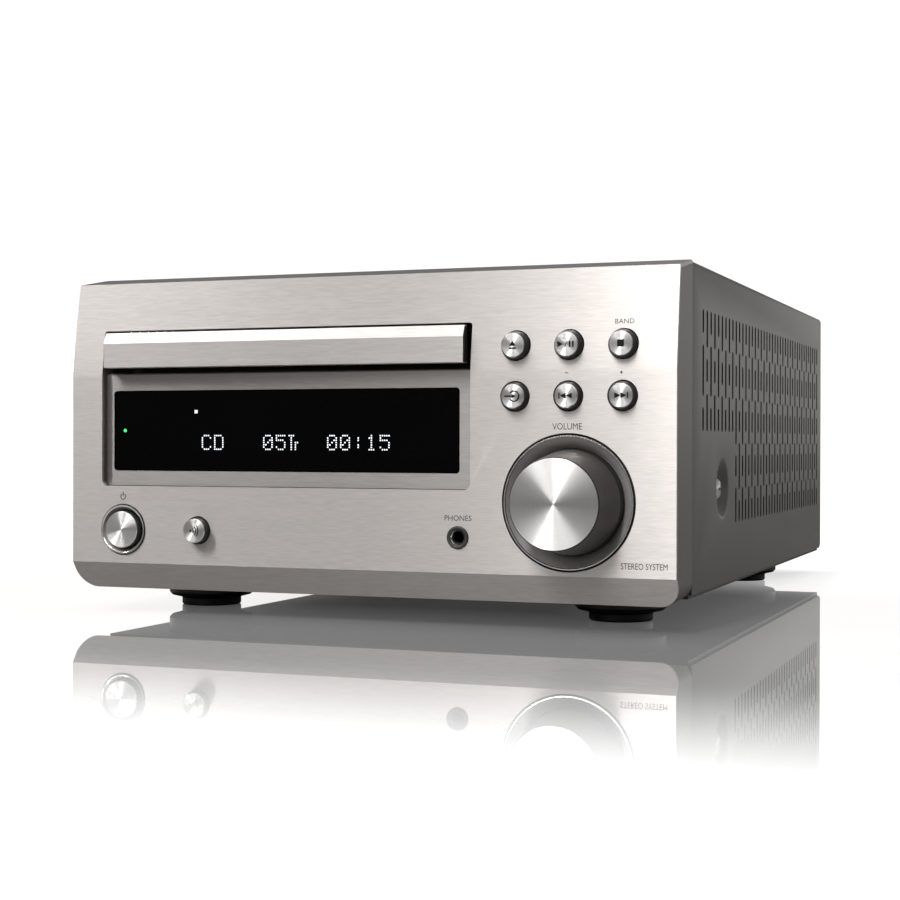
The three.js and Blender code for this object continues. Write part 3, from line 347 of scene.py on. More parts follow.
class Graph:
    """A node tree being wired."""

    def __init__(self, tree):
        self.nodes, self.links = tree.nodes, tree.links

    def node(self, kind, **settings):
        """A new node. Each setting is one of its properties or the value of one of its inputs."""
        node = self.nodes.new(f"ShaderNode{kind}")
        for key, value in settings.items():
            if hasattr(node, key):
                setattr(node, key, value)
            else:
                node.inputs[key.replace("_", " ")].default_value = value
        return node

    def link(self, source, target):
        self.links.new(source, target)

    def math(self, operation, *values):
        """The result of a calculation on sockets and numbers."""
        node = self.node("Math", operation=operation)
        for value, socket in zip(values, node.inputs):
            if isinstance(value, (int, float)):
                socket.default_value = value
            else:
                self.link(value, socket)
        return node.outputs[0]

    def ranged(self, value, low, high, source=(0.3, 0.7), smooth=False):
        """A value carried from its source range to low and high, straight or with soft ends."""
        node = self.node("MapRange", interpolation_type="SMOOTHSTEP" if smooth else "LINEAR")
        for key, number in zip(("From Min", "From Max", "To Min", "To Max"), (*source, low, high)):
            node.inputs[key].default_value = number
        self.link(value, node.inputs["Value"])
        return node.outputs["Result"]

    def split(self, vector):
        """The X, Y and Z of a vector."""
        node = self.node("SeparateXYZ")
        self.link(vector, node.inputs[0])
        return node.outputs

    def blend(self, factor, first, second):
        """Two shaders mixed by a factor."""
        node = self.node("MixShader")
        for source, socket in zip((factor, first, second), node.inputs):
            self.link(source, socket)
        return node.outputs[0]


class Look(Graph):
    """A material being wired: one shader, and helpers for the textures that feed it."""

    def __init__(self, name, colour, roughness, metallic=0.0, **constants):
        self.material = bpy.data.materials.new(name)
        self.material.use_nodes = True
        super().__init__(self.material.node_tree)
        self.shader = self.nodes["Principled BSDF"]
        self.set("Base Color", (*colour, 1))
        self.set("Roughness", roughness)
        self.set("Metallic", metallic)
        for key, value in constants.items():
            self.set(key.replace("_", " "), value)
        self.material.diffuse_color = (*colour, 1)

    def feed(self, socket, source):
        self.link(source, self.shader.inputs[socket])

    def set(self, socket, value):
        self.shader.inputs[socket].default_value = value

    def coordinates(self, scale=(1, 1, 1)):
        """Object coordinates stretched by a scale, one scale for each axis."""
        mapping = self.node("Mapping", Scale=scale)
        self.link(self.node("TexCoord").outputs["Object"], mapping.inputs["Vector"])
        return mapping.outputs["Vector"]

    def noise(self, vector, scale, detail=2.0, roughness=0.5, dimensions="3D"):
        node = self.node("TexNoise", noise_dimensions=dimensions, Scale=scale, Detail=detail,
                         Roughness=roughness)
        self.link(vector, node.inputs["W" if dimensions == "1D" else "Vector"])
        return node.outputs["Fac"]

    def colour_between(self, value, low, high, source=(0.3, 0.7)):
        node = self.node("Mix", data_type="RGBA")
        node.inputs[6].default_value = (*low, 1)
        node.inputs[7].default_value = (*high, 1)
        self.link(self.ranged(value, 0, 1, source), node.inputs["Factor"])
        self.feed("Base Color", node.outputs[2])

    def roughen(self, value, low, high, source=(0.3, 0.7)):
        self.feed("Roughness", self.ranged(value, low, high, source))

    def bump(self, value, strength, distance):
        node = self.node("Bump", Strength=strength, Distance=distance * MM)
        self.link(value, node.inputs["Height"])
        self.feed("Normal", node.outputs["Normal"])

    def tangent(self, **settings):
        self.feed("Tangent", self.node("Tangent", **settings).outputs[0])


def brushed(name, light, dark, roughness):
    """Aluminium brushed along X: short fine streaks, and highlights drawn out across them."""
    look = Look(name, light, roughness, 1.0, Anisotropic=0.9, Anisotropic_Rotation=0.25)
    fine = look.noise(look.coordinates((190, 190, 3400)), 1)
    broad = look.noise(look.coordinates((22, 22, 640)), 1)
    both = look.math("MULTIPLY_ADD", broad, 0.24, look.ranged(fine, 0, 0.76, (0, 1)))
    look.colour_between(both, dark, light, (0.36, 0.62))
    look.roughen(both, roughness - 0.03, roughness + 0.04)
    look.bump(fine, 0.07, 0.02)
    look.tangent(direction_type="UV_MAP", uv_map="grain")
    return look.material


def spun(name, light, dark, roughness, anisotropy=0.8):
    """Aluminium turned about a Y axis: fine rings round the piece's own centre."""
    look = Look(name, light, roughness, 1.0, Anisotropic=anisotropy, Anisotropic_Rotation=0.25)
    flat = look.node("VectorMath", operation="MULTIPLY")
    flat.inputs[1].default_value = (1, 0, 1)
    look.link(look.node("TexCoord").outputs["Object"], flat.inputs[0])
    radius = look.node("VectorMath", operation="LENGTH")
    look.link(flat.outputs["Vector"], radius.inputs[0])
    rings = look.noise(radius.outputs["Value"], 5200, 2, 0.6, "1D")
    look.colour_between(rings, dark, light)
    look.roughen(rings, roughness - 0.04, roughness + 0.05)
    look.bump(rings, 0.1, 0.015)
    look.tangent(direction_type="RADIAL", axis="Y")
    return look.material


def grained(name, light, dark, roughness, metallic=0.0, grain=1500, bump=0.12, **constants):
    """Paint or moulded plastic with a fine surface texture and slow changes of shade."""
    look = Look(name, light, roughness, metallic, **constants)
    where = look.coordinates()
    slow = look.noise(where, 22, 2)
    fine = look.noise(where, grain, 2)
    look.colour_between(slow, dark, light)
    look.roughen(fine, roughness - 0.06, roughness + 0.06)
    look.bump(fine, bump, 0.03)
    return look.material


def rolled(name, light, dark, roughness, scale=(40, 900, 40)):
    """Plated or rolled sheet metal: soft streaks along one axis and a cloudy sheen."""
    look = Look(name, light, roughness, 1.0)
    streaks = look.noise(look.coordinates(scale), 1, 3)
    cloud = look.noise(look.coordinates(), 60, 3)
    look.colour_between(cloud, dark, light)
    look.roughen(streaks, roughness - 0.08, roughness + 0.1)
    look.bump(streaks, 0.08, 0.02)
    return look.material


def printed_board(name):
    """Green solder resist with the copper tracks showing through it."""
    look = Look(name, (0.02, 0.12, 0.05), 0.35)
    tracks = look.node("TexVoronoi", feature="DISTANCE_TO_EDGE", Scale=170)
    look.link(look.coordinates(), tracks.inputs["Vector"])
    look.colour_between(tracks.outputs["Distance"], (0.05, 0.24, 0.1), (0.018, 0.1, 0.045), (0.03, 0.06))
    look.bump(look.ranged(tracks.outputs["Distance"], 1, 0, (0.03, 0.06)), 0.3, 0.03)
    look.roughen(look.noise(look.coordinates(), 300), 0.3, 0.45)
    return look.material


def glowing(name, colour, strength):
    """The lit dots of the display, a little uneven from dot to dot."""
    look = Look(name, colour, 0.4)
    look.set("Emission Color", (*colour, 1))
    spread = look.noise(look.coordinates(), 900, 1)
    look.feed("Emission Strength", look.ranged(spread, strength * 0.85, strength * 1.1))
    return look.material


def ink(name, colour):
    look = Look(name, colour, 0.5, Specular_IOR_Level=0.2)
    fleck = look.noise(look.coordinates(), 4000, 2)
    look.colour_between(fleck, [c * 0.7 for c in colour], [min(1, c * 1.3) for c in colour])
    look.roughen(fleck, 0.42, 0.6)
    return look.material


PANEL = brushed("panel_brushed", (0.51, 0.481, 0.463), (0.44, 0.415, 0.399), 0.46)
TOP_METAL = brushed("panel_top_brushed", (0.095, 0.093, 0.091), (0.078, 0.076, 0.075), 0.42)
DOOR_METAL = brushed("drawer_brushed", (0.53, 0.503, 0.485), (0.465, 0.441, 0.426), 0.46)
# a lighter copy of the door's metal for its top facet: a painted highlight where the facet leans towards the
# lights
FACET_HIGHLIGHT_METAL = brushed("drawer_facet_painted_highlight", (0.7, 0.667, 0.647), (0.615, 0.584, 0.565), 0.46)
SURROUND_METAL = brushed("surround_brushed", (0.39, 0.369, 0.357), (0.34, 0.322, 0.311), 0.46)
SPUN = spun("controls_spun", (0.95, 0.935, 0.92), (0.84, 0.825, 0.81), 0.4, 0.98)
KEY_METAL = spun("keys_spun", (0.78, 0.764, 0.75), (0.69, 0.676, 0.663), 0.42, 0.98)
DISH_METAL = spun("dish_spun", (0.68, 0.657, 0.639), (0.58, 0.56, 0.545), 0.6, 0.4)
KNOB_SIDE = spun("knob_side", (0.2, 0.191, 0.182), (0.167, 0.159, 0.152), 0.42, 0.5)
RIM = spun("rim_polished", (0.93, 0.92, 0.91), (0.85, 0.84, 0.83), 0.16, 0.3)
NICKEL = spun("nickel_plate", (0.72, 0.7, 0.65), (0.6, 0.58, 0.54), 0.22, 0.3)
BLACK = grained("black_lacquer", (0.03, 0.03, 0.03), (0.022, 0.022, 0.022), 0.36, grain=2400)
SHADOW = grained("shadow_gap", (0.01, 0.01, 0.01), (0.006, 0.006, 0.006), 0.62, grain=2400)
PAINT = grained("cover_paint", (0.11, 0.102, 0.095), (0.094, 0.087, 0.081), 0.42, 0.25, grain=2600)
# a near-black copy of the cover's paint for its inner faces and slot walls: painted shade inside the case
INSIDE_SHADE = grained("cover_inside_painted_shade", (0.01, 0.0095, 0.009), (0.006, 0.0055, 0.005), 0.6, grain=2000)
MOULDING = grained("cheek_moulding", (0.1, 0.094, 0.089), (0.085, 0.08, 0.075), 0.45, grain=2200)
CHASSIS = grained("chassis_paint", (0.014, 0.014, 0.014), (0.009, 0.009, 0.009), 0.5, grain=2000)
INK = ink("panel_ink", (0.04, 0.039, 0.039))
KEY_INK = ink("key_ink", (0.004, 0.004, 0.004))
PALE_INK = ink("pale_ink", (0.5, 0.5, 0.48))
GLASS = grained("display_acrylic", (0.0015, 0.0015, 0.0018), (0.001, 0.001, 0.0012), 0.1, grain=700,
                bump=0.01, Specular_IOR_Level=0.06)
GLOW = glowing("display_dots", (0.9, 0.95, 1.0), 0.65)
SQUARE_GLOW = glowing("display_square", (0.75, 0.78, 0.8), 0.38)
GREEN_GLOW = glowing("indicator", (0.05, 1.0, 0.18), 0.6)
RUBBER = grained("foot_rubber", (0.012, 0.012, 0.012), (0.007, 0.007, 0.007), 0.42, grain=1300)
ZINC = rolled("zinc_plate", (0.66, 0.66, 0.64), (0.5, 0.5, 0.49), 0.34)
TRAY_PLASTIC = grained("tray_plastic", (0.03, 0.03, 0.032), (0.023, 0.023, 0.025), 0.4, grain=1700)
SOCKET_PLASTIC = grained("socket_plastic", (0.02, 0.02, 0.02), (0.014, 0.014, 0.014), 0.42, grain=1800)
WHITE_PLASTIC = grained("socket_white", (0.75, 0.74, 0.7), (0.66, 0.65, 0.62), 0.4, grain=1800)
RED_PLASTIC = grained("post_red_plastic", (0.45, 0.016, 0.014), (0.36, 0.012, 0.011), 0.24, grain=900,
                      bump=0.05)
BLACK_PLASTIC = grained("post_black_plastic", (0.02, 0.02, 0.021), (0.013, 0.013, 0.014), 0.24, grain=900,
                        bump=0.05)
NYLON = grained("gear_nylon", (0.8, 0.77, 0.68), (0.72, 0.69, 0.6), 0.45, grain=1200)
BOARD = printed_board("board_resist")
ANODISED = rolled("heatsink_anodised", (0.05, 0.05, 0.052), (0.03, 0.03, 0.031), 0.4, (900, 900, 30))
SLEEVE = grained("capacitor_sleeve", (0.012, 0.014, 0.05), (0.008, 0.009, 0.036), 0.25, grain=600, bump=0.04)
LAMINATED = rolled("transformer_laminations", (0.2, 0.17, 0.14), (0.11, 0.095, 0.08), 0.5, (60, 1500, 60))

# ------------------------------------------------------------------ front panel


def panel_line():
    """The outer line of the panel in section, from the lower bevel over the crown to the seam, as (y, z)."""
    line = [(BEVEL["depth"], BOTTOM), (0, BEVEL["top"])]
    start, rise = TOP - CROWN["start"], CROWN["start"] - CROWN["drop"]
    for i in range(CROWN["steps"] + 1):
        t = i / CROWN["steps"]
        line.append((CROWN["lean"] * t ** CROWN["power"], start + rise * t))
    line.append((SEAM, TOP))
    return line


def offset_line(points, distance):
    """The line moved to its right by a distance, with mitred corners."""
    moved = []
    for i, point in enumerate(points):
        here = Vector(point)
        runs = []
        if i > 0:
            runs.append((here - Vector(points[i - 1])).normalized())
        if i < len(points) - 1:
            runs.append((Vector(points[i + 1]) - here).normalized())
        normals = [Vector((run.y, -run.x)) for run in runs]
        mean = sum(normals, Vector((0, 0))).normalized()
        moved.append(tuple(here + mean * distance / mean.dot(normals[0])))
    return moved


def window_hole():
    """The outline of the opening in the panel: the surround's box, with the door's slot above it."""
    box = Box("display_surround")
    return rectangle(box.low.x - WINDOW_FIT, box.high.x + WINDOW_FIT, box.low.z - WINDOW_FIT,
                     box.high.z + SLOT_HEIGHT, 2, 1)


def front_fascia():
    outer = panel_line()
    skin = prism(outer + offset_line(outer, SKIN)[::-1], -HALF, HALF, "x")
    outline = prism(rectangle(-HALF, HALF, BOTTOM, TOP, CORNER, 0.8, 14), -1, SEAM + 1)
    cutters = [prism(window_hole(), -2, SEAM + 1)]
    for node, radius in (*HOLES.items(), *((node, KEY_HOLE) for node in KEYS.values())):
        cutters.append(rod(radius, -2, SEAM + 1, 96, at=on_panel(node)))
    shape = carved(skin, ("INTERSECT", outline), ("DIFFERENCE", merged(*cutters)))
    for face in shape.faces:
        if face.normal.z > 0.9:
            face.material_index = 1
    piece("front_panel", shape, "root", [PANEL, TOP_METAL], replaced=["front_fascia"],
          bevel=0.16, grain=True)


def display_surround():
    box, glass = Box("display_surround"), Box("display_window")
    plate = prism(box.outline(2, 0.5), box.low.y, box.high.y)
    hole = prism(glass.outline(1.2, 1.2, WINDOW_FIT), -1, SEAM)
    piece("window_surround", cut(plate, hole), "root", SURROUND_METAL,
          replaced=["display_surround"], bevel=0.3, grain=True)


def display_window():
    box = Box("display_window")
    pane = prism(box.outline(1.1, 1.1), box.low.y, box.high.y)
    piece("window_pane", pane, "root", GLASS, replaced=["display_window"], bevel=0.2)


def tray_door():
    """The drawer's front: a flat face, and along its top a facet that leans back, given a lighter copy of the
    door's metal as a painted highlight.
    """
    box = Box("tray_door")
    front, back, low, high = box.low.y, box.high.y, box.low.z, box.high.z
    slope, facet = 1.7, 3.6
    outline = [(front, low), (back, low), (back, high), (front + slope, high), (front, high - facet)]
    door = prism(outline, box.low.x, box.high.x, "x")
    # the upward facet takes the lighter copy of the door's metal, a painted highlight
    for face in door.faces:
        if face.normal.z > 0.1 and face.normal.y < -0.1:
            face.material_index = 1
    piece("drawer_front", door, "tray", [DOOR_METAL, FACET_HIGHLIGHT_METAL],
          replaced=["tray_door"], sharp=12, bevel=0.2, grain=True)


TRAY = {"wall": 3, "floor": 2, "depth": 3, "step": 0.7, "disc": 60.8, "small_disc": 40.3, "lane": 18,
        "back_wall": 5, "rack": 8}
RACK = {"module": 1.5, "teeth": 31, "root": 1.15, "tip": 0.85, "play": 0.075, "pressure": 20, "end": 2}


def rack_outline(line, inner, back):
    """The rack's outline: teeth about the pitch line, and a straight edge towards the tray's wall."""
    module = RACK["module"]
    pitch, slant = math.pi * module, module * math.tan(math.radians(RACK["pressure"]))
    root, tip = line - RACK["root"] * module, line + RACK["tip"] * module
    end = back - RACK["end"]
    start = end - (RACK["teeth"] + 0.1) * pitch
    half_tooth = pitch / 4 - RACK["play"]
    foot, crest = half_tooth + RACK["root"] * slant, half_tooth - RACK["tip"] * slant
    points = [(inner, start), (root, start)]
    for number in range(RACK["teeth"]):
        y = end - (RACK["teeth"] - 0.5 - number) * pitch
        points += [(root, y - foot), (tip, y - crest), (tip, y + crest), (root, y + foot)]
    return points + [(root, end), (inner, end)]


def disc_tray():
    """The disc tray: stepped round recesses, the slot for the turntable and pickup, and the rack below."""
    low, high = Box("disc_tray").low, Box("disc_tray").high
    middle, disc_y = (low.x + high.x) / 2, centre("turntable").y
    wall, lane = TRAY["wall"], TRAY["lane"]
    seat = high.z - TRAY["depth"]
    ceiling = seat - TRAY["floor"]
    plate = prism(rectangle(low.x, high.x, low.y, high.y, 0, 3, 6), low.z, high.z, "z")
    channel = rectangle(low.x + wall, high.x - wall, low.y + TRAY["back_wall"], high.y + 1)
    tools = [("DIFFERENCE", prism(channel, low.z - 1, ceiling, "z"))]
    for radius, bottom in ((TRAY["disc"], seat), (TRAY["small_disc"], seat - TRAY["step"])):
        profile = [(0, bottom), (radius - 0.4, bottom), (radius, bottom + 0.4), (radius, high.z + 1),
                   (0, high.z + 1)]
        tools.append(("DIFFERENCE", lathe(profile, 160, "z", at=(middle, disc_y, 0))))
    opening = arc(middle, disc_y, lane, 180, 360, 24)
    opening += [(middle + lane, high.y + 1), (middle - lane, high.y + 1)]
    tools.append(("DIFFERENCE", prism(opening, low.z - 1, high.z + 1, "z")))
    rack = rack_outline(low.x + TRAY["rack"], low.x + wall - 0.5, high.y)
    tools.append(("UNION", prism(rack, low.z + 0.2, ceiling + 0.5, "z")))
    piece("disc_bed", carved(plate, *tools), "tray", TRAY_PLASTIC, replaced=["disc_tray"],
          bevel=0.22)


# ------------------------------------------------------------------ controls

BUTTON = {"chamfer": 0.22, "stem": 1.6, "paint": [0, 1, 2, 2, 2, 2, 2, 2, 2]}
KEY_SIZES = {"face": 3.75, "cap": 4.4, "proud": 2.6}
WIRELESS_SIZES = {"face": 4.0, "cap": 4.3, "proud": 2.7}


def control(name, node, body, profile, looks, paint, segments):
    """A turned control on its own centre. The profile is softened, and paint follows the corners."""
    points, numbers = [profile[0]], []
    for i in range(1, len(profile)):
        corner = soften([profile[i - 1], profile[i], profile[(i + 1) % len(profile)]], 0.08)
        fresh = corner[1:-1] if i < len(profile) - 1 else [profile[i]]
        numbers += [paint[i - 1]] * len(fresh)
        points += fresh
    shape = lathe(points, segments, "y", numbers + [paint[-1]])
    stand_in(name, node, shape, looks, body)


def round_button(name, node, body, face, cap, proud):
    """A button's spun face, its black tapered side, and the skirt and flange behind the panel."""
    back, stem, chamfer = Box(node).high.y, BUTTON["stem"], BUTTON["chamfer"]
    profile = [(0, -proud), (face - chamfer, -proud), (face, -proud + chamfer), (cap, -0.2 * proud + 0.3),
               (cap, HOLD), (cap + 1, HOLD), (cap + 1, HOLD + FLANGE), (stem, HOLD + FLANGE), (stem, back),
               (0, back)]
    control(name, node, body, profile, [KEY_METAL, RIM, BLACK], BUTTON["paint"], 96)


def power_button():
    bore, skirt = 6.7, 8.5
    ring = [(bore, 1.6), (7.7, -0.3), (7.9, -0.4), (8.25, -0.4), (8.3, 0.4), (skirt, 0.4), (skirt, HOLD),
            (10.3, HOLD), (10.3, HOLD + FLANGE), (bore, HOLD + FLANGE)]
    shape = lathe(ring, 128, "y", [0, 1, 1, 2, 2, 2, 2, 2, 2, 2])
    stand_in("power_surround", "power_ring", shape, [DISH_METAL, RIM, BLACK])
    back, stem, cap, flange = Box("power_button").high.y, BUTTON["stem"], 6.35, 8.6
    profile = [(0, -1.4), (5.95, -1.4), (6.15, -1.2), (cap, 0), (cap, flange), (cap + 1, flange),
               (cap + 1, flange + FLANGE), (stem, flange + FLANGE), (stem, back), (0, back)]
    control("power_key", "power_button", "power", profile, [SPUN, RIM, BLACK], BUTTON["paint"], 128)


def volume_control():
    shaft, floor_depth, skirt = 5.2, 4.6, 21.2
    ring = [(shaft, floor_depth), (16.7, floor_depth), (20.05, 0.1), (20.2, -0.3), (20.3, -0.4),
            (20.6, -0.4), (20.65, -0.3), (20.66, 0.7), (skirt, 0.7), (skirt, HOLD), (23, HOLD),
            (23, HOLD + FLANGE), (shaft, HOLD + FLANGE)]
    shape = lathe(ring, 192, "y", [2, 0, 1, 1, 1, 1, 2, 2, 2, 2, 2, 2, 2])
    stand_in("volume_dish", "volume_ring", shape, [DISH_METAL, RIM, SHADOW])
    bore, bore_end = 3.1, -9.3
    knob = [(0, -15), (13.75, -15), (14.1, -14.6), (16.1, 1.5), (16.35, 1.8), (16.4, 2.0), (16.4, 4.1),
            (bore, 4.1), (bore, bore_end), (0, bore_end)]
    control("volume_wheel", "volume_knob", "volume", knob, [SPUN, SHADOW, KNOB_SIDE],
            [0, 1, 2, 1, 1, 1, 1, 1, 1], 192)


def phones_jack():
    """The black nut of the jack, its bright contact sleeve, and the housing behind the panel."""
    box = Box("phones_jack")
    bore, nut, front = 1.9, 3.55, HOLD + 0.1
    turned = [(bore, 4), (bore, 0.5), (bore + 0.2, 0.25), (2.3, -0.1), (2.75, -0.45), (3.25, -0.5),
              (nut, -0.25), (nut, front), (bore, front)]
    sleeve = lathe(turned, 96, "y", [2, 2, 1, 0, 0, 0, 0, 0, 0])
    shell = cut(prism(centred(box.wide, box.tall), front, box.high.y), rod(bore, 0, box.high.y - 2, 48))
    stand_in("headphone_jack", "phones_jack", merged(sleeve, shell), [BLACK, RIM, BLACK])


# ------------------------------------------------------------------ printed marks and the display


def panel_front(z):
    """How far back the panel's surface lies at a height."""
    t = max(0.0, z - TOP + CROWN["start"]) / (CROWN["start"] - CROWN["drop"])
    return CROWN["lean"] * t ** CROWN["power"]


def written(words, height, wide):
    """Words as flat mesh letters in the XZ plane, centred, with capitals of that height and that wide."""
    curve = bpy.data.curves.new("letters", "FONT")
    curve.body = words
    curve.align_x, curve.align_y = "CENTER", "CENTER"
    curve.size = height / 0.7
    curve.extrude = 0.01
    curve.resolution_u = 3
    holder = linked("letters", curve)
    depsgraph = bpy.context.evaluated_depsgraph_get()
    bm = bmesh.new()
    bm.from_mesh(holder.evaluated_get(depsgraph).to_mesh())
    bpy.data.objects.remove(holder)
    bpy.data.curves.remove(curve)
    bm.transform(Matrix.Rotation(math.pi / 2, 4, "X"))
    across = max(v.co.x for v in bm.verts) - min(v.co.x for v in bm.verts)
    bm.transform(Matrix.Scale(wide / across, 4, (1, 0, 0)))
    return bm


def ring_icon(radius, width, start=0, end=360):
    """A band round a centre, as outlines of at most a half turn each."""
    middle = (start + end) / 2
    return [arc(0, 0, radius + width / 2, a, b) + arc(0, 0, radius - width / 2, b, a)
            for a, b in ((start, middle), (middle, end))]


def bar(x0, x1, z0, z1):
    return [(x0, z0), (x1, z0), (x1, z1), (x0, z1)]


def arrow(tip, base, half_height):
    return [(base, -half_height), (tip, 0), (base, half_height)]


def shifted(outline, dx):
    return [(a + dx, b) for a, b in outline]


ICON_SCALE = 1.12
ICONS = {
    "eject": [[(-1.0, -0.2), (1.0, -0.2), (0, 1.15)], bar(-1.0, 1.0, -1.1, -0.65)],
    "play_pause": [arrow(-0.75, -2.5, 0.85), [(-0.55, -1.0), (-0.3, -1.0), (0.55, 1.0), (0.3, 1.0)],
                   bar(0.85, 1.3, -0.85, 0.85), bar(1.75, 2.2, -0.85, 0.85)],
    "stop": [bar(-0.95, 0.95, -0.95, 0.95)],
    "source": [shifted(part, 0.45) for part in ring_icon(1.4, 0.42, -145, 145)]
    + [bar(-2.3, -0.2, -0.2, 0.2), arrow(0.85, -0.25, 0.65)],
    "previous": [bar(-2.1, -1.75, -0.8, 0.8), arrow(-1.7, 0, 0.8), arrow(0, 1.7, 0.8)],
    "next": [bar(1.75, 2.1, -0.8, 0.8), arrow(1.7, 0, 0.8), arrow(0, -1.7, 0.8)],
    "wireless": [shifted(arc(0, 0, 0.32, 0, 360, 16)[:-1], -1.1)]
    + [shifted(part, -1.1) for radius in (1.0, 1.75, 2.5) for part in ring_icon(radius, 0.34, -42, 42)],
}


def printed(*outlines):
    """A small printed sign. Each outline is a little thicker than the one before, which it may cross."""
    steps = [0.001 * number for number in range(len(outlines))]
    return merged(*(prism(outline, -0.02 - step, 0.01 + step) for outline, step in zip(outlines, steps)))


def marks():
    """The icons on the buttons, and the small plain words and signs printed on the panel."""
    for key, outlines in ICONS.items():
        box = Box(KEYS.get(key, "wireless_button"))
        drawn = [[(a * ICON_SCALE, b * ICON_SCALE) for a, b in outline] for outline in outlines]
        piece(f"{key}_icon", prisms(drawn, -0.025, 0.02), key, KEY_INK,
              at=(box.middle.x, box.low.y, box.middle.z))
    knob, jack, band = centre("volume_ring"), centre("phones_jack"), centre("stop_button")
    previous, following, power = centre("previous_button"), centre("next_button"), centre("power_ring")
    sign_height = (centre("play_pause_button").z + previous.z) / 2 - 0.8
    dash, stroke = bar(-0.5, 0.5, -0.13, 0.13), bar(-0.13, 0.13, -0.5, 0.5)
    power_icon = ring_icon(0.95, 0.28, 120, 420) + [bar(-0.14, 0.14, 0.1, 1.6)]
    words = [
        ("volume_label", written("VOLUME", 2.0, 9.4), knob.x - 0.3, knob.z + 23.2),
        ("phones_label", written("PHONES", 1.7, 9.0), jack.x + 0.1, jack.z + 6.0),
        ("band_label", written("BAND", 1.5, 6.0), band.x + 0.1, band.z + 6.8),
        ("system_label", written("STEREO SYSTEM", 1.9, 14.4), HALF - 9.8, 20.8),
        ("minus_sign", printed(dash), previous.x - 0.5, sign_height),
        ("plus_sign", printed(dash, stroke), following.x - 0.4, sign_height),
        ("power_icon", prisms(power_icon, -0.02, 0.01), power.x, power.z + 11.1),
    ]
    for name, shape, x, z in words:
        for vertex in shape.verts:
            vertex.co.y += panel_front(z + vertex.co.z) - 0.012
        piece(name, shape, "root", INK, at=(x, 0, z))


DOTS = {
    "C": "01110 10001 10000 10000 10000 10001 01110",
    "D": "11110 10001 10001 10001 10001 10001 11110",
    "0": "01110 10001 10011 10101 11001 10001 01110",
    "1": "00100 01100 00100 00100 00100 00100 01110",
    "5": "11111 10000 11110 00001 00001 10001 01110",
    "T": "11100 01000 01000 01011 01010 01010 01010",
    ":": "00000 00100 00100 00000 00100 00100 00000",
}

SHOWN = (("CD", 33.2), ("05T", 56.0), ("00:15", 79.1))
DOT = {"pitch": 0.75, "step": 4.62, "half": 0.21, "base": 6.9, "rows": 6.5}
SQUARE = {"left": 30.6, "right": 31.7, "bottom": 19.2, "top": 20.3}
LAMP = {"x": 3.9, "z": 13.5, "radius": 0.55}


def display():
    """What the display shows behind its pane: dot characters, a small square and a green indicator."""
    low = Box("display_window").low
    outlines = []
    for words, start in SHOWN:
        for number, letter in enumerate(words):
            for row, line in enumerate(DOTS[letter].split()):
                for column, on in enumerate(line):
                    if on == "0":
                        continue
                    x = low.x + start + number * DOT["step"] + (column + 0.5) * DOT["pitch"]
                    z = low.z + DOT["base"] + (DOT["rows"] - row) * DOT["pitch"]
                    outlines.append(bar(x - DOT["half"], x + DOT["half"], z - DOT["half"], z + DOT["half"]))
    square = bar(low.x + SQUARE["left"], low.x + SQUARE["right"], low.z + SQUARE["bottom"],
                 low.z + SQUARE["top"])
    lamp = arc(low.x + LAMP["x"], low.z + LAMP["z"], LAMP["radius"], 0, 360, 20)[:-1]
    lit = (("display_characters", outlines, 0.03, GLOW), ("display_square", [square], 0.03, SQUARE_GLOW),
           ("standby_lamp", [lamp], 0.04, GREEN_GLOW))
    for name, shapes, proud, look in lit:
        piece(name, prisms(shapes, low.y - proud, low.y + 0.02), "root", look)


# ------------------------------------------------------------------ cover, screws and feet

VENT = {"first": 36.6, "pitch": 5.94, "columns": 41, "short_columns": 9, "width": 2.2, "top": 100.8,
        "bottom": 30.5, "short_bottom": 61.8, "short": 7.7, "long": 16.5, "gap": 3.5}


def vents():
    """The outlines of the cover's slots. In every other column the run of short and long slots is shifted by
    half its length, and the columns by the screw dish stop above it."""
    outlines = []
    radius = VENT["width"] / 2
    run = VENT["short"] + VENT["long"] + 2 * VENT["gap"]
    for column in range(VENT["columns"]):
        y = VENT["first"] + column * VENT["pitch"]
        bottom = VENT["short_bottom"] if column < VENT["short_columns"] else VENT["bottom"]
        z = VENT["top"] + (run / 2 if column % 2 else 0)
        for length in [VENT["short"], VENT["long"]] * 4:
            high, low = min(z, VENT["top"]), max(z - length, bottom)
            z -= length + VENT["gap"]
            if high - low > 2.5 * radius:
                ends = ((high - radius, 0), (low + radius, 180))
                outlines.append([p for end, turn in ends for p in arc(y, end, radius, turn, turn + 180, 6)])
    return outlines


def rounded_ends(bm, rear, front):
    """Rounds the rear edges of the cover's outer solid, and then a little its front ones."""
    bottom = min(v.co.z for v in bm.verts) + 1e-4
    for furthest, radius, segments in ((max, rear, 6), (min, front, 2)):
        end = furthest(v.co.y for v in bm.verts)
        edges = [e for e in bm.edges
                 if all(abs(v.co.y - end) < 1e-4 for v in e.verts) and any(v.co.z >= bottom for v in e.verts)]
        bmesh.ops.bevel(bm, geom=edges, offset=radius, offset_type="OFFSET", segments=segments, profile=0.5,
                        affect="EDGES", clamp_overlap=True)
    return oriented(bm)


SHEET = 1.0
DISH = {"rim": 10.5, "seat": 5.5, "deep": 2.8, "hole": 2.2}


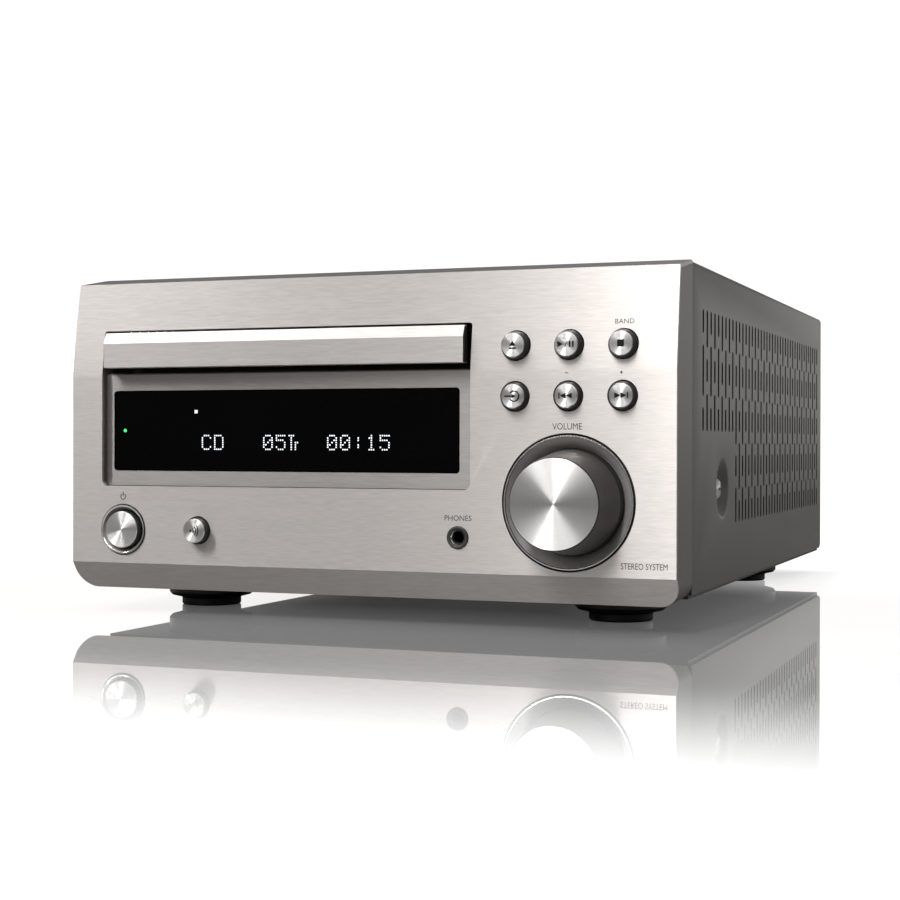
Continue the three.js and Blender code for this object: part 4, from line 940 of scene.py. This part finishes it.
def side_dishes(middle):
    """The pressed dishes of the two side screws, and the round tools that clear their places."""
    rim, seat, deep, hole = DISH.values()
    face = [(rim, 0), (9.9, -0.04), (9.4, -0.22), (8.9, -0.55), (6.4, -2.35), (5.9, -2.68), (seat, -deep),
            (hole, -deep), (hole, -deep - SHEET), (5.2, -deep - SHEET), (6.0, -3.3), (8.6, -1.5),
            (9.4, -SHEET), (rim, -SHEET)]
    bores, dishes = [], []
    for side in (-1, 1):
        bore = rod(rim, HALF - SHEET - 1, HALF + 1, 72, "x")
        dish = lathe([(r, HALF + d) for r, d in face], 72, "x")
        for shape in (bore, dish):
            shape.transform(Matrix.Diagonal((side, 1, 1, 1)))
            shape.transform(Matrix.Translation((0, middle.y, middle.z)))
            oriented(shape)
        bores.append(bore)
        dishes.append(dish)
    return bores, dishes


def paint_inside_shade(shape, box, dish_middle):
    """Gives the cover's inner faces and the walls of its slots a near-black colour: painted shade for the
    inside of the case.
    """
    for face in shape.faces:
        at = face.calc_center_median()
        depth = HALF - abs(at.x)
        if math.hypot(at.y - dish_middle.y, at.z - dish_middle.z) < DISH["rim"] + 0.1:
            in_shade = face.normal.x * at.x < 0
        elif 0.1 * SHEET < depth < 0.9 * SHEET:
            in_shade = at.y > VENT["first"] - VENT["width"] and VENT["bottom"] - 1 < at.z < VENT["top"] + 1
        else:
            in_shade = min(depth, box.high.z - at.z, box.high.y - at.y) > 0.8 * SHEET
        face.material_index = 1 if in_shade else 0


def top_cover():
    """The folded steel cover: rounded bends, a lip behind, side slots and two pressed dishes for screws."""
    box, lip, corner_radius = Box("top_cover"), 7.0, 6
    low, high = box.low, box.high
    outer = rounded_ends(prism(rectangle(-HALF, HALF, low.z, high.z, 0, 2.0, 8), low.y, high.y), 1.9, 0.35)
    inner = prism(rectangle(-HALF + SHEET, HALF - SHEET, 0, high.z - SHEET, 0, 1.0, 6), low.y - 2,
                  high.y - SHEET)
    opening = prism(rectangle(-HALF + lip, HALF - lip, 0, high.z - lip, 0, 1.5), high.y - 2, high.y + 1)
    turn = (high.y - corner_radius, low.z + corner_radius)
    corner = prism([(high.y + 1, low.z - 1), (turn[0], low.z - 1)] + arc(*turn, corner_radius, -90, 0)
                   + [(high.y + 1, turn[1])], -HALF - 1, HALF + 1, "x")
    dish_middle = centre("right_side_screw")
    bores, dishes = side_dishes(dish_middle)
    for side in ("left", "right"):
        bores.append(rod(1.9, high.y - 3, high.y + 1, 32, at=on_panel(f"{side}_rear_screw")))
    cutters = [inner, opening, corner, merged(*bores), prisms(vents(), -HALF - 1, HALF + 1, "x")]
    shape = carved(outer, *(("DIFFERENCE", cutter) for cutter in cutters), ("UNION", merged(*dishes)))
    paint_inside_shade(shape, box, dish_middle)
    # material 1, on the inner faces, slot walls and backs of the dishes, is painted shade
    piece("cover_shell", shape, "root", [PAINT, INSIDE_SHADE], replaced=["top_cover"], sharp=40)


def cross_recess(depth, reach, width):
    """The cross cut into a screw's head, from the head's face towards -X."""
    quarter = [(width, reach), (width, width), (reach, width)]
    outline = [(-width, reach), *quarter]
    outline += [(a, -b) for a, b in reversed(quarter)]
    outline += [(-a, -b) for a, b in quarter]
    outline += [(-reach, width), (-width, width)]
    return prism(outline, -depth, 1, "x")


def screw(node, axis, sign, head, shank, tall):
    """A domed cross-head screw whose head looks along an axis, in the sign's direction."""
    box, index = Box(node), "xyz".index(axis)
    length = (box.high - box.low)[index] - tall
    profile = [(0, -length), (shank - 0.3, -length), (shank, -length + 0.3), (shank, 0), (head - 0.15, 0),
               (head, 0.2), (head * 0.94, tall * 0.55), (head * 0.72, tall * 0.88), (head * 0.4, tall),
               (0, tall)]
    recess = cross_recess(1.1, head * 0.55, 0.42)
    recess.transform(Matrix.Translation((tall, 0, 0)))
    shape = cut(lathe(profile, 48, "x"), recess)
    if axis == "y":
        shape.transform(Matrix.Rotation(math.pi / 2, 4, "Z"))
    elif sign < 0:
        shape.transform(Matrix.Rotation(math.pi, 4, "Z"))
    seat = list(box.middle)
    seat[index] = box.high[index] - tall if sign > 0 else box.low[index] + tall
    piece(f"{node}_head", shape, "root", ZINC, at=seat, replaced=[node], sharp=30)


def foot(node):
    """A stepped foot: a flange under the chassis and a narrower pad with a softened rim."""
    middle, top = centre(node), Box(node).high.z
    radius, pad, step = 15, 10.5, 2.6
    profile = [(0, 0.5), (pad - 2.5, 0.5), (pad - 2.1, 0), (pad - 0.5, 0), (pad, 0.5), (pad, step),
               (pad + 0.8, step + 0.3), (radius - 0.9, step + 1.0), (radius, step + 2.0), (radius, top),
               (0, top)]
    shape = lathe(soften(profile, 0.25), 96, "z")
    piece(f"{node}_pad", shape, "root", RUBBER, at=(middle.x, middle.y, 0), replaced=[node])


# ------------------------------------------------------------------ terminals behind

REAR = Box("rear_panel").high.y
FLUSH = REAR + 0.6


def flanged(box, corner, inset, depth):
    """A terminal's housing, centred: a rounded flange on the rear panel and the body that goes through it."""
    flange = prism(centred(box.wide, box.tall, corner, 5), REAR + 0.02, REAR + 1.2)
    body = prism(centred(box.wide - inset, box.tall - inset, 1, 3), REAR - depth, REAR + 0.1)
    return carved(flange, ("UNION", body))


def speaker_terminals():
    """The black cup of the loudspeaker terminals with its four plated studs."""
    box = Box("speaker_terminals")
    deep, edge, stud, end = 6, 4, 1.9, box.high.y
    cup = prism(centred(box.wide - edge, box.tall - edge, 3, 6), REAR - deep, REAR + 3)
    housing = cut(flanged(box, 2.5, 2, deep + 3), cup)
    root = REAR - deep - 0.1
    profile = [(0, root), (stud, root), (stud, end - 0.4), (stud - 0.4, end), (0, end)]
    posts = [centre(f"post_cap_{number}") - box.middle for number in range(1, 5)]
    studs = [lathe(profile, 32, "y", [1] * len(profile), (post.x, 0, post.z)) for post in posts]
    stand_in("speaker_cup", "speaker_terminals", merged(housing, *studs), [SOCKET_PLASTIC, NICKEL],
             bevel=0.2)


def post_cap(number, look):
    """A fluted screw cap of a loudspeaker terminal, with a dished mouth for a plug."""
    node = f"post_cap_{number}"
    box = Box(node)
    radius, bore, flutes, groove = box.wide, 2.2, 20, 0.07
    front, back = box.low.y, box.high.y
    profile = [(bore, front), (radius - 1.5, front), (radius - 1.5, front + 1.5), (radius, front + 2),
               (radius, back - 2.6), (radius, back - 0.8), (radius - 0.7, back), (bore + 1.2, back),
               (bore + 0.5, back - 0.8), (bore, back - 1.6)]
    cap = lathe(soften(profile, 0.2), 160)
    for vertex in cap.verts:
        reach = math.hypot(vertex.co.x, vertex.co.z)
        if reach > radius - 0.3 and vertex.co.y < back - 1.5:
            wave = 0.5 + 0.5 * math.cos(flutes * math.atan2(vertex.co.z, vertex.co.x))
            vertex.co.x *= 1 - groove * wave
            vertex.co.z *= 1 - groove * wave
    stand_in(f"post_{number}_cap", node, cap, look, f"post_{number}")


def line_sockets():
    """Four phono sockets: plated sleeves round a white or a red insulator."""
    box = Box("line_sockets")
    end, pitch, radius, hole = box.high.y, 14, 4.15, 1.6
    sleeve = [(hole, FLUSH), (hole, end - 0.7), (radius - 0.9, end - 0.7), (radius - 0.8, end - 0.1),
              (radius - 0.7, end), (radius - 0.2, end), (radius, end - 0.25), (radius, REAR + 2.2),
              (radius + 1.2, REAR + 2.2), (radius + 1.4, REAR + 2.0), (radius + 1.4, FLUSH)]
    barrels = []
    for x, insulator in ((0.5, 2), (-0.5, 3)):
        paint = [insulator] * 2 + [1] * 5 + [insulator] * 4
        barrels += [lathe(sleeve, 64, "y", paint, (x * pitch, 0, z * pitch)) for z in (-0.5, 0.5)]
    stand_in("phono_sockets", "line_sockets", merged(flanged(box, 1.5, 1.5, 14), *barrels),
             [SOCKET_PLASTIC, NICKEL, WHITE_PLASTIC, RED_PLASTIC])


def antenna_sockets():
    """Two threaded coaxial sockets for the aerials."""
    box = Box("antenna_sockets")
    end, pitch, radius, hole = box.high.y, 18, 4.7, 1.0
    thread = [(hole, FLUSH), (hole, end - 0.5), (3.1, end - 0.5), (3.3, end), (radius - 0.4, end)]
    turns, rise = 8, 0.55
    for turn in range(turns):
        y = end - 0.35 - turn * rise
        thread += [(radius, y), (radius - 0.3, y - rise / 2)]
    thread += [(radius + 0.9, REAR + 1.6), (radius + 0.9, FLUSH)]
    paint = [2, 2] + [1] * (len(thread) - 2)
    barrels = [lathe(thread, 64, "y", paint, (x * pitch, 0, 0)) for x in (-0.5, 0.5)]
    stand_in("aerial_sockets", "antenna_sockets", merged(flanged(box, 1.5, 2, 10), *barrels),
             [SOCKET_PLASTIC, NICKEL, WHITE_PLASTIC])


def optical_socket():
    port, bevel = 4, 1.4
    outline = [(-port, -port), (port, -port), (port, port - bevel), (port - bevel, port),
               (-port + bevel, port), (-port, port - bevel)]
    shape = cut(flanged(Box("optical_socket"), 1, 1, 15), prism(outline, REAR - 13, REAR + 3))
    stand_in("optical_port", "optical_socket", shape, SOCKET_PLASTIC, bevel=0.15)


def ac_inlet():
    """The mains inlet: a rounded well with two pins."""
    deep, pin, pitch, tip = 13, 1.2, 8.6, REAR - 6
    root = REAR - deep - 0.1
    well = prism(centred(9, 4.5, 4.4), REAR - deep, REAR + 3)
    housing = cut(flanged(Box("ac_inlet"), 2, 1.5, deep + 4), well)
    profile = [(0, root), (pin, root), (pin, tip - 0.5), (pin - 0.5, tip), (0, tip)]
    pins = [lathe(profile, 24, "y", [1] * len(profile), (x * pitch, 0, 0)) for x in (-0.5, 0.5)]
    stand_in("mains_inlet", "ac_inlet", merged(housing, *pins), [SOCKET_PLASTIC, NICKEL],
             bevel=0.2)


REAR_LABELS = (
    ("speaker_label", "SPEAKERS", "speaker_terminals", 17), ("line_label", "LINE IN", "line_sockets", 11),
    ("aerial_label", "ANTENNA", "antenna_sockets", 14), ("optical_label", "OPTICAL", "optical_socket", 11),
    ("mains_label", "AC IN", "ac_inlet", 9),
)


def rear_labels():
    """Plain words over the terminals, read from behind."""
    for name, words, node, wide in REAR_LABELS:
        box = Box(node)
        letters = written(words, 1.9, wide)
        letters.transform(Matrix.Rotation(math.pi, 4, "Z"))
        piece(name, letters, "root", PALE_INK,
              at=(box.middle.x, REAR + 0.015, box.high.z + 2.6))


# ------------------------------------------------------------------ every piece

front_fascia()
display_surround()
display_window()
tray_door()
disc_tray()
for key, node in KEYS.items():
    round_button(f"{key}_key", node, key, **KEY_SIZES)
round_button("wireless_key", "wireless_button", "wireless", **WIRELESS_SIZES)
power_button()
volume_control()
phones_jack()
marks()
display()
top_cover()
for side, sign in (("left", -1), ("right", 1)):
    screw(f"{side}_side_screw", "x", sign, head=3.6, shank=1.9, tall=2.0)
    screw(f"{side}_rear_screw", "y", 1, head=3.2, shank=1.6, tall=1.8)
    foot(f"front_{side}_foot")
    foot(f"rear_{side}_foot")
speaker_terminals()
for number in (1, 2):
    post_cap(number, BLACK_PLASTIC)
for number in (3, 4):
    post_cap(number, RED_PLASTIC)
line_sockets()
antenna_sockets()
optical_socket()
ac_inlet()
rear_labels()

# the CAD nodes that are shown in their own shape, by finish
CARRIED = (
    (MOULDING, ("fascia_frame",)),
    (CHASSIS, ("base_chassis",)),
    (PAINT, ("rear_panel",)),
    (BLACK_PLASTIC, ("display_module", "volume_encoder")),
    (BOARD, ("front_board", "main_board")),
    (ZINC, ("loading_motor", "spindle_motor", "guide_rod", "clamp_bridge", "traverse_plate", "encoder_shaft",
            "tuner_module")),
    (TRAY_PLASTIC, ("loader_frame", "clamp_puck", "turntable", "pickup_sled")),
    (NYLON, ("loading_gear", "motor_pinion")),
    (SOCKET_PLASTIC, ("optical_shutter",)),
    (ANODISED, ("amplifier_heatsink",)),
    (SLEEVE, ("left_capacitor", "right_capacitor")),
    (LAMINATED, ("power_transformer",)),
)
for look, nodes in CARRIED:
    for node in nodes:
        mesh = frame["nodes"][node].data
        mesh.materials.clear()
        mesh.materials.append(look)

# ------------------------------------------------------------------ camera, light and floor

# degrees, and metres in the shared frame, fitted to the photograph
VIEW = {"lens": 67.675, "yaw": 20.758, "pitch": -0.211, "roll": 0.125, "at": (0.220509, -0.634753, 0.057729)}


def camera():
    """The photograph's view: standing right of the front, level with the display."""
    data = bpy.data.cameras.new("camera")
    data.sensor_width = 36
    data.lens = VIEW["lens"]
    data.clip_start = 0.01
    yaw, pitch, roll = (math.radians(VIEW[key]) for key in ("yaw", "pitch", "roll"))
    forward = Vector((-math.sin(yaw) * math.cos(pitch), math.cos(yaw) * math.cos(pitch), math.sin(pitch)))
    side = Vector((math.cos(yaw), math.sin(yaw), 0))
    up = side.cross(forward)
    right = side * math.cos(roll) + up * math.sin(roll)
    top = up * math.cos(roll) - side * math.sin(roll)
    obj = linked("camera", data)
    rotation = Matrix((right, top, -forward)).transposed().to_4x4()
    obj.matrix_world = Matrix.Translation(VIEW["at"]) @ rotation
    scene.camera = obj


def softbox(name, left, up, distance, size, power):
    """A softbox that looks at the front panel from so many degrees left of its axis and above the table."""
    data = bpy.data.lights.new(name, "AREA")
    data.shape = "RECTANGLE"
    data.size, data.size_y = size
    data.energy = power
    obj = linked(name, data)
    left, up = math.radians(left), math.radians(up)
    aim = Vector((math.sin(left) * math.cos(up), math.cos(left) * math.cos(up), -math.sin(up)))
    obj.location = Vector((0, PLANE, 0.06)) - aim * distance
    obj.rotation_euler = aim.to_track_quat("-Z", "Y").to_euler()


def world():
    """The studio: white to the camera. Behind the object a bright band stands on the horizon, and elsewhere
    a dim wall rises into a soft ceiling."""
    data = bpy.data.worlds.new("studio")
    scene.world = data
    data.use_nodes = True
    graph = Graph(data.node_tree)
    graph.nodes.clear()
    where = graph.split(graph.node("TexCoord").outputs["Generated"])
    low_band = graph.ranged(where["Z"], 0.84, 0.0, (0.16, 0.22), smooth=True)
    behind = graph.ranged(where["Y"], 0.0, 1.0, (-0.25, 0.2), smooth=True)
    ceiling = graph.ranged(where["Z"], 0.16, 0.9, (0.15, 1.0), smooth=True)
    level = graph.math("ADD", graph.math("MULTIPLY", low_band, behind), ceiling)
    studio = graph.node("Background", Color=(1, 0.99, 0.98, 1))
    graph.link(level, studio.inputs["Strength"])
    white = graph.node("Background", Color=(1, 1, 1, 1), Strength=1.05)
    camera_ray = graph.node("LightPath").outputs["Is Camera Ray"]
    both = graph.blend(camera_ray, studio.outputs[0], white.outputs[0])
    graph.link(both, graph.node("OutputWorld").inputs["Surface"])


def floor_finish():
    """Polished in front of and beside the object, matt further out, and never a mirror to other rays than
    the camera's. Away from the object it glows white; near and under it the glow is turned down, a painted
    contact shadow."""
    look = Look("floor_finish", (0.8, 0.8, 0.8), 0.6)
    where = look.split(look.node("TexCoord").outputs["Object"])
    reach = {"X": HALF * MM, "Y": (cad_box[1][1] - cad_box[0][1]) / 2 - 0.015}
    away = [look.math("SUBTRACT", look.math("ABSOLUTE", where[axis]), reach[axis]) for axis in "XY"]
    far = look.math("MAXIMUM", *away)
    camera_ray = look.node("LightPath").outputs["Is Camera Ray"]
    polish = look.ranged(far, 0.86, 0.0, (0.08, 0.28), smooth=True)
    in_front = look.ranged(where["Y"], 1.0, 0.0, (0.0, 0.16), smooth=True)
    mirror = look.math("MULTIPLY", polish, look.math("MULTIPLY", camera_ray, in_front))
    tone = look.node("Mix", data_type="RGBA")
    look.link(look.ranged(far, 0.27, 0.1, (0.08, 0.35)), tone.inputs[6])
    tone.inputs[7].default_value = (0.35, 0.35, 0.35, 1)
    look.link(camera_ray, tone.inputs["Factor"])
    matt = look.node("BsdfDiffuse")
    look.link(tone.outputs[2], matt.inputs["Color"])
    glow = look.node("Emission")
    # the camera's glow falls from 0.9 to 0.3 near and under the object: a painted contact shadow on the floor
    glow_with_painted_shadow = look.ranged(far, 0.3, 0.9, (-0.06, 0.02))
    look.link(look.math("MULTIPLY", camera_ray, glow_with_painted_shadow), glow.inputs["Strength"])
    lit = look.node("AddShader")
    look.link(matt.outputs[0], lit.inputs[0])
    look.link(glow.outputs[0], lit.inputs[1])
    gloss = look.node("BsdfGlossy", Roughness=0.015, Color=(0.95, 0.95, 0.95, 1))
    surface = look.blend(mirror, lit.outputs[0], gloss.outputs[0])
    look.link(surface, look.nodes["Material Output"].inputs["Surface"])
    return look.material


def floor():
    bm = bmesh.new()
    bmesh.ops.create_grid(bm, x_segments=2, y_segments=2, size=6)
    mesh = raw_mesh(bm, "floor")
    mesh.materials.append(floor_finish())
    obj = linked("floor", mesh)
    obj.location = (0, 0, cad_box[0][2])


camera()
world()
floor()
softbox("key", left=4, up=47, distance=1.6, size=(0.16, 0.8), power=21)
softbox("fill", left=18, up=54, distance=1.6, size=(0.5, 0.6), power=3.4)
softbox("low_fill", left=12, up=10, distance=1.6, size=(0.5, 0.16), power=1.9)
softbox("side_key", left=52, up=44, distance=1.25, size=(0.08, 0.62), power=5.6)
scene.view_settings.view_transform = "Standard"
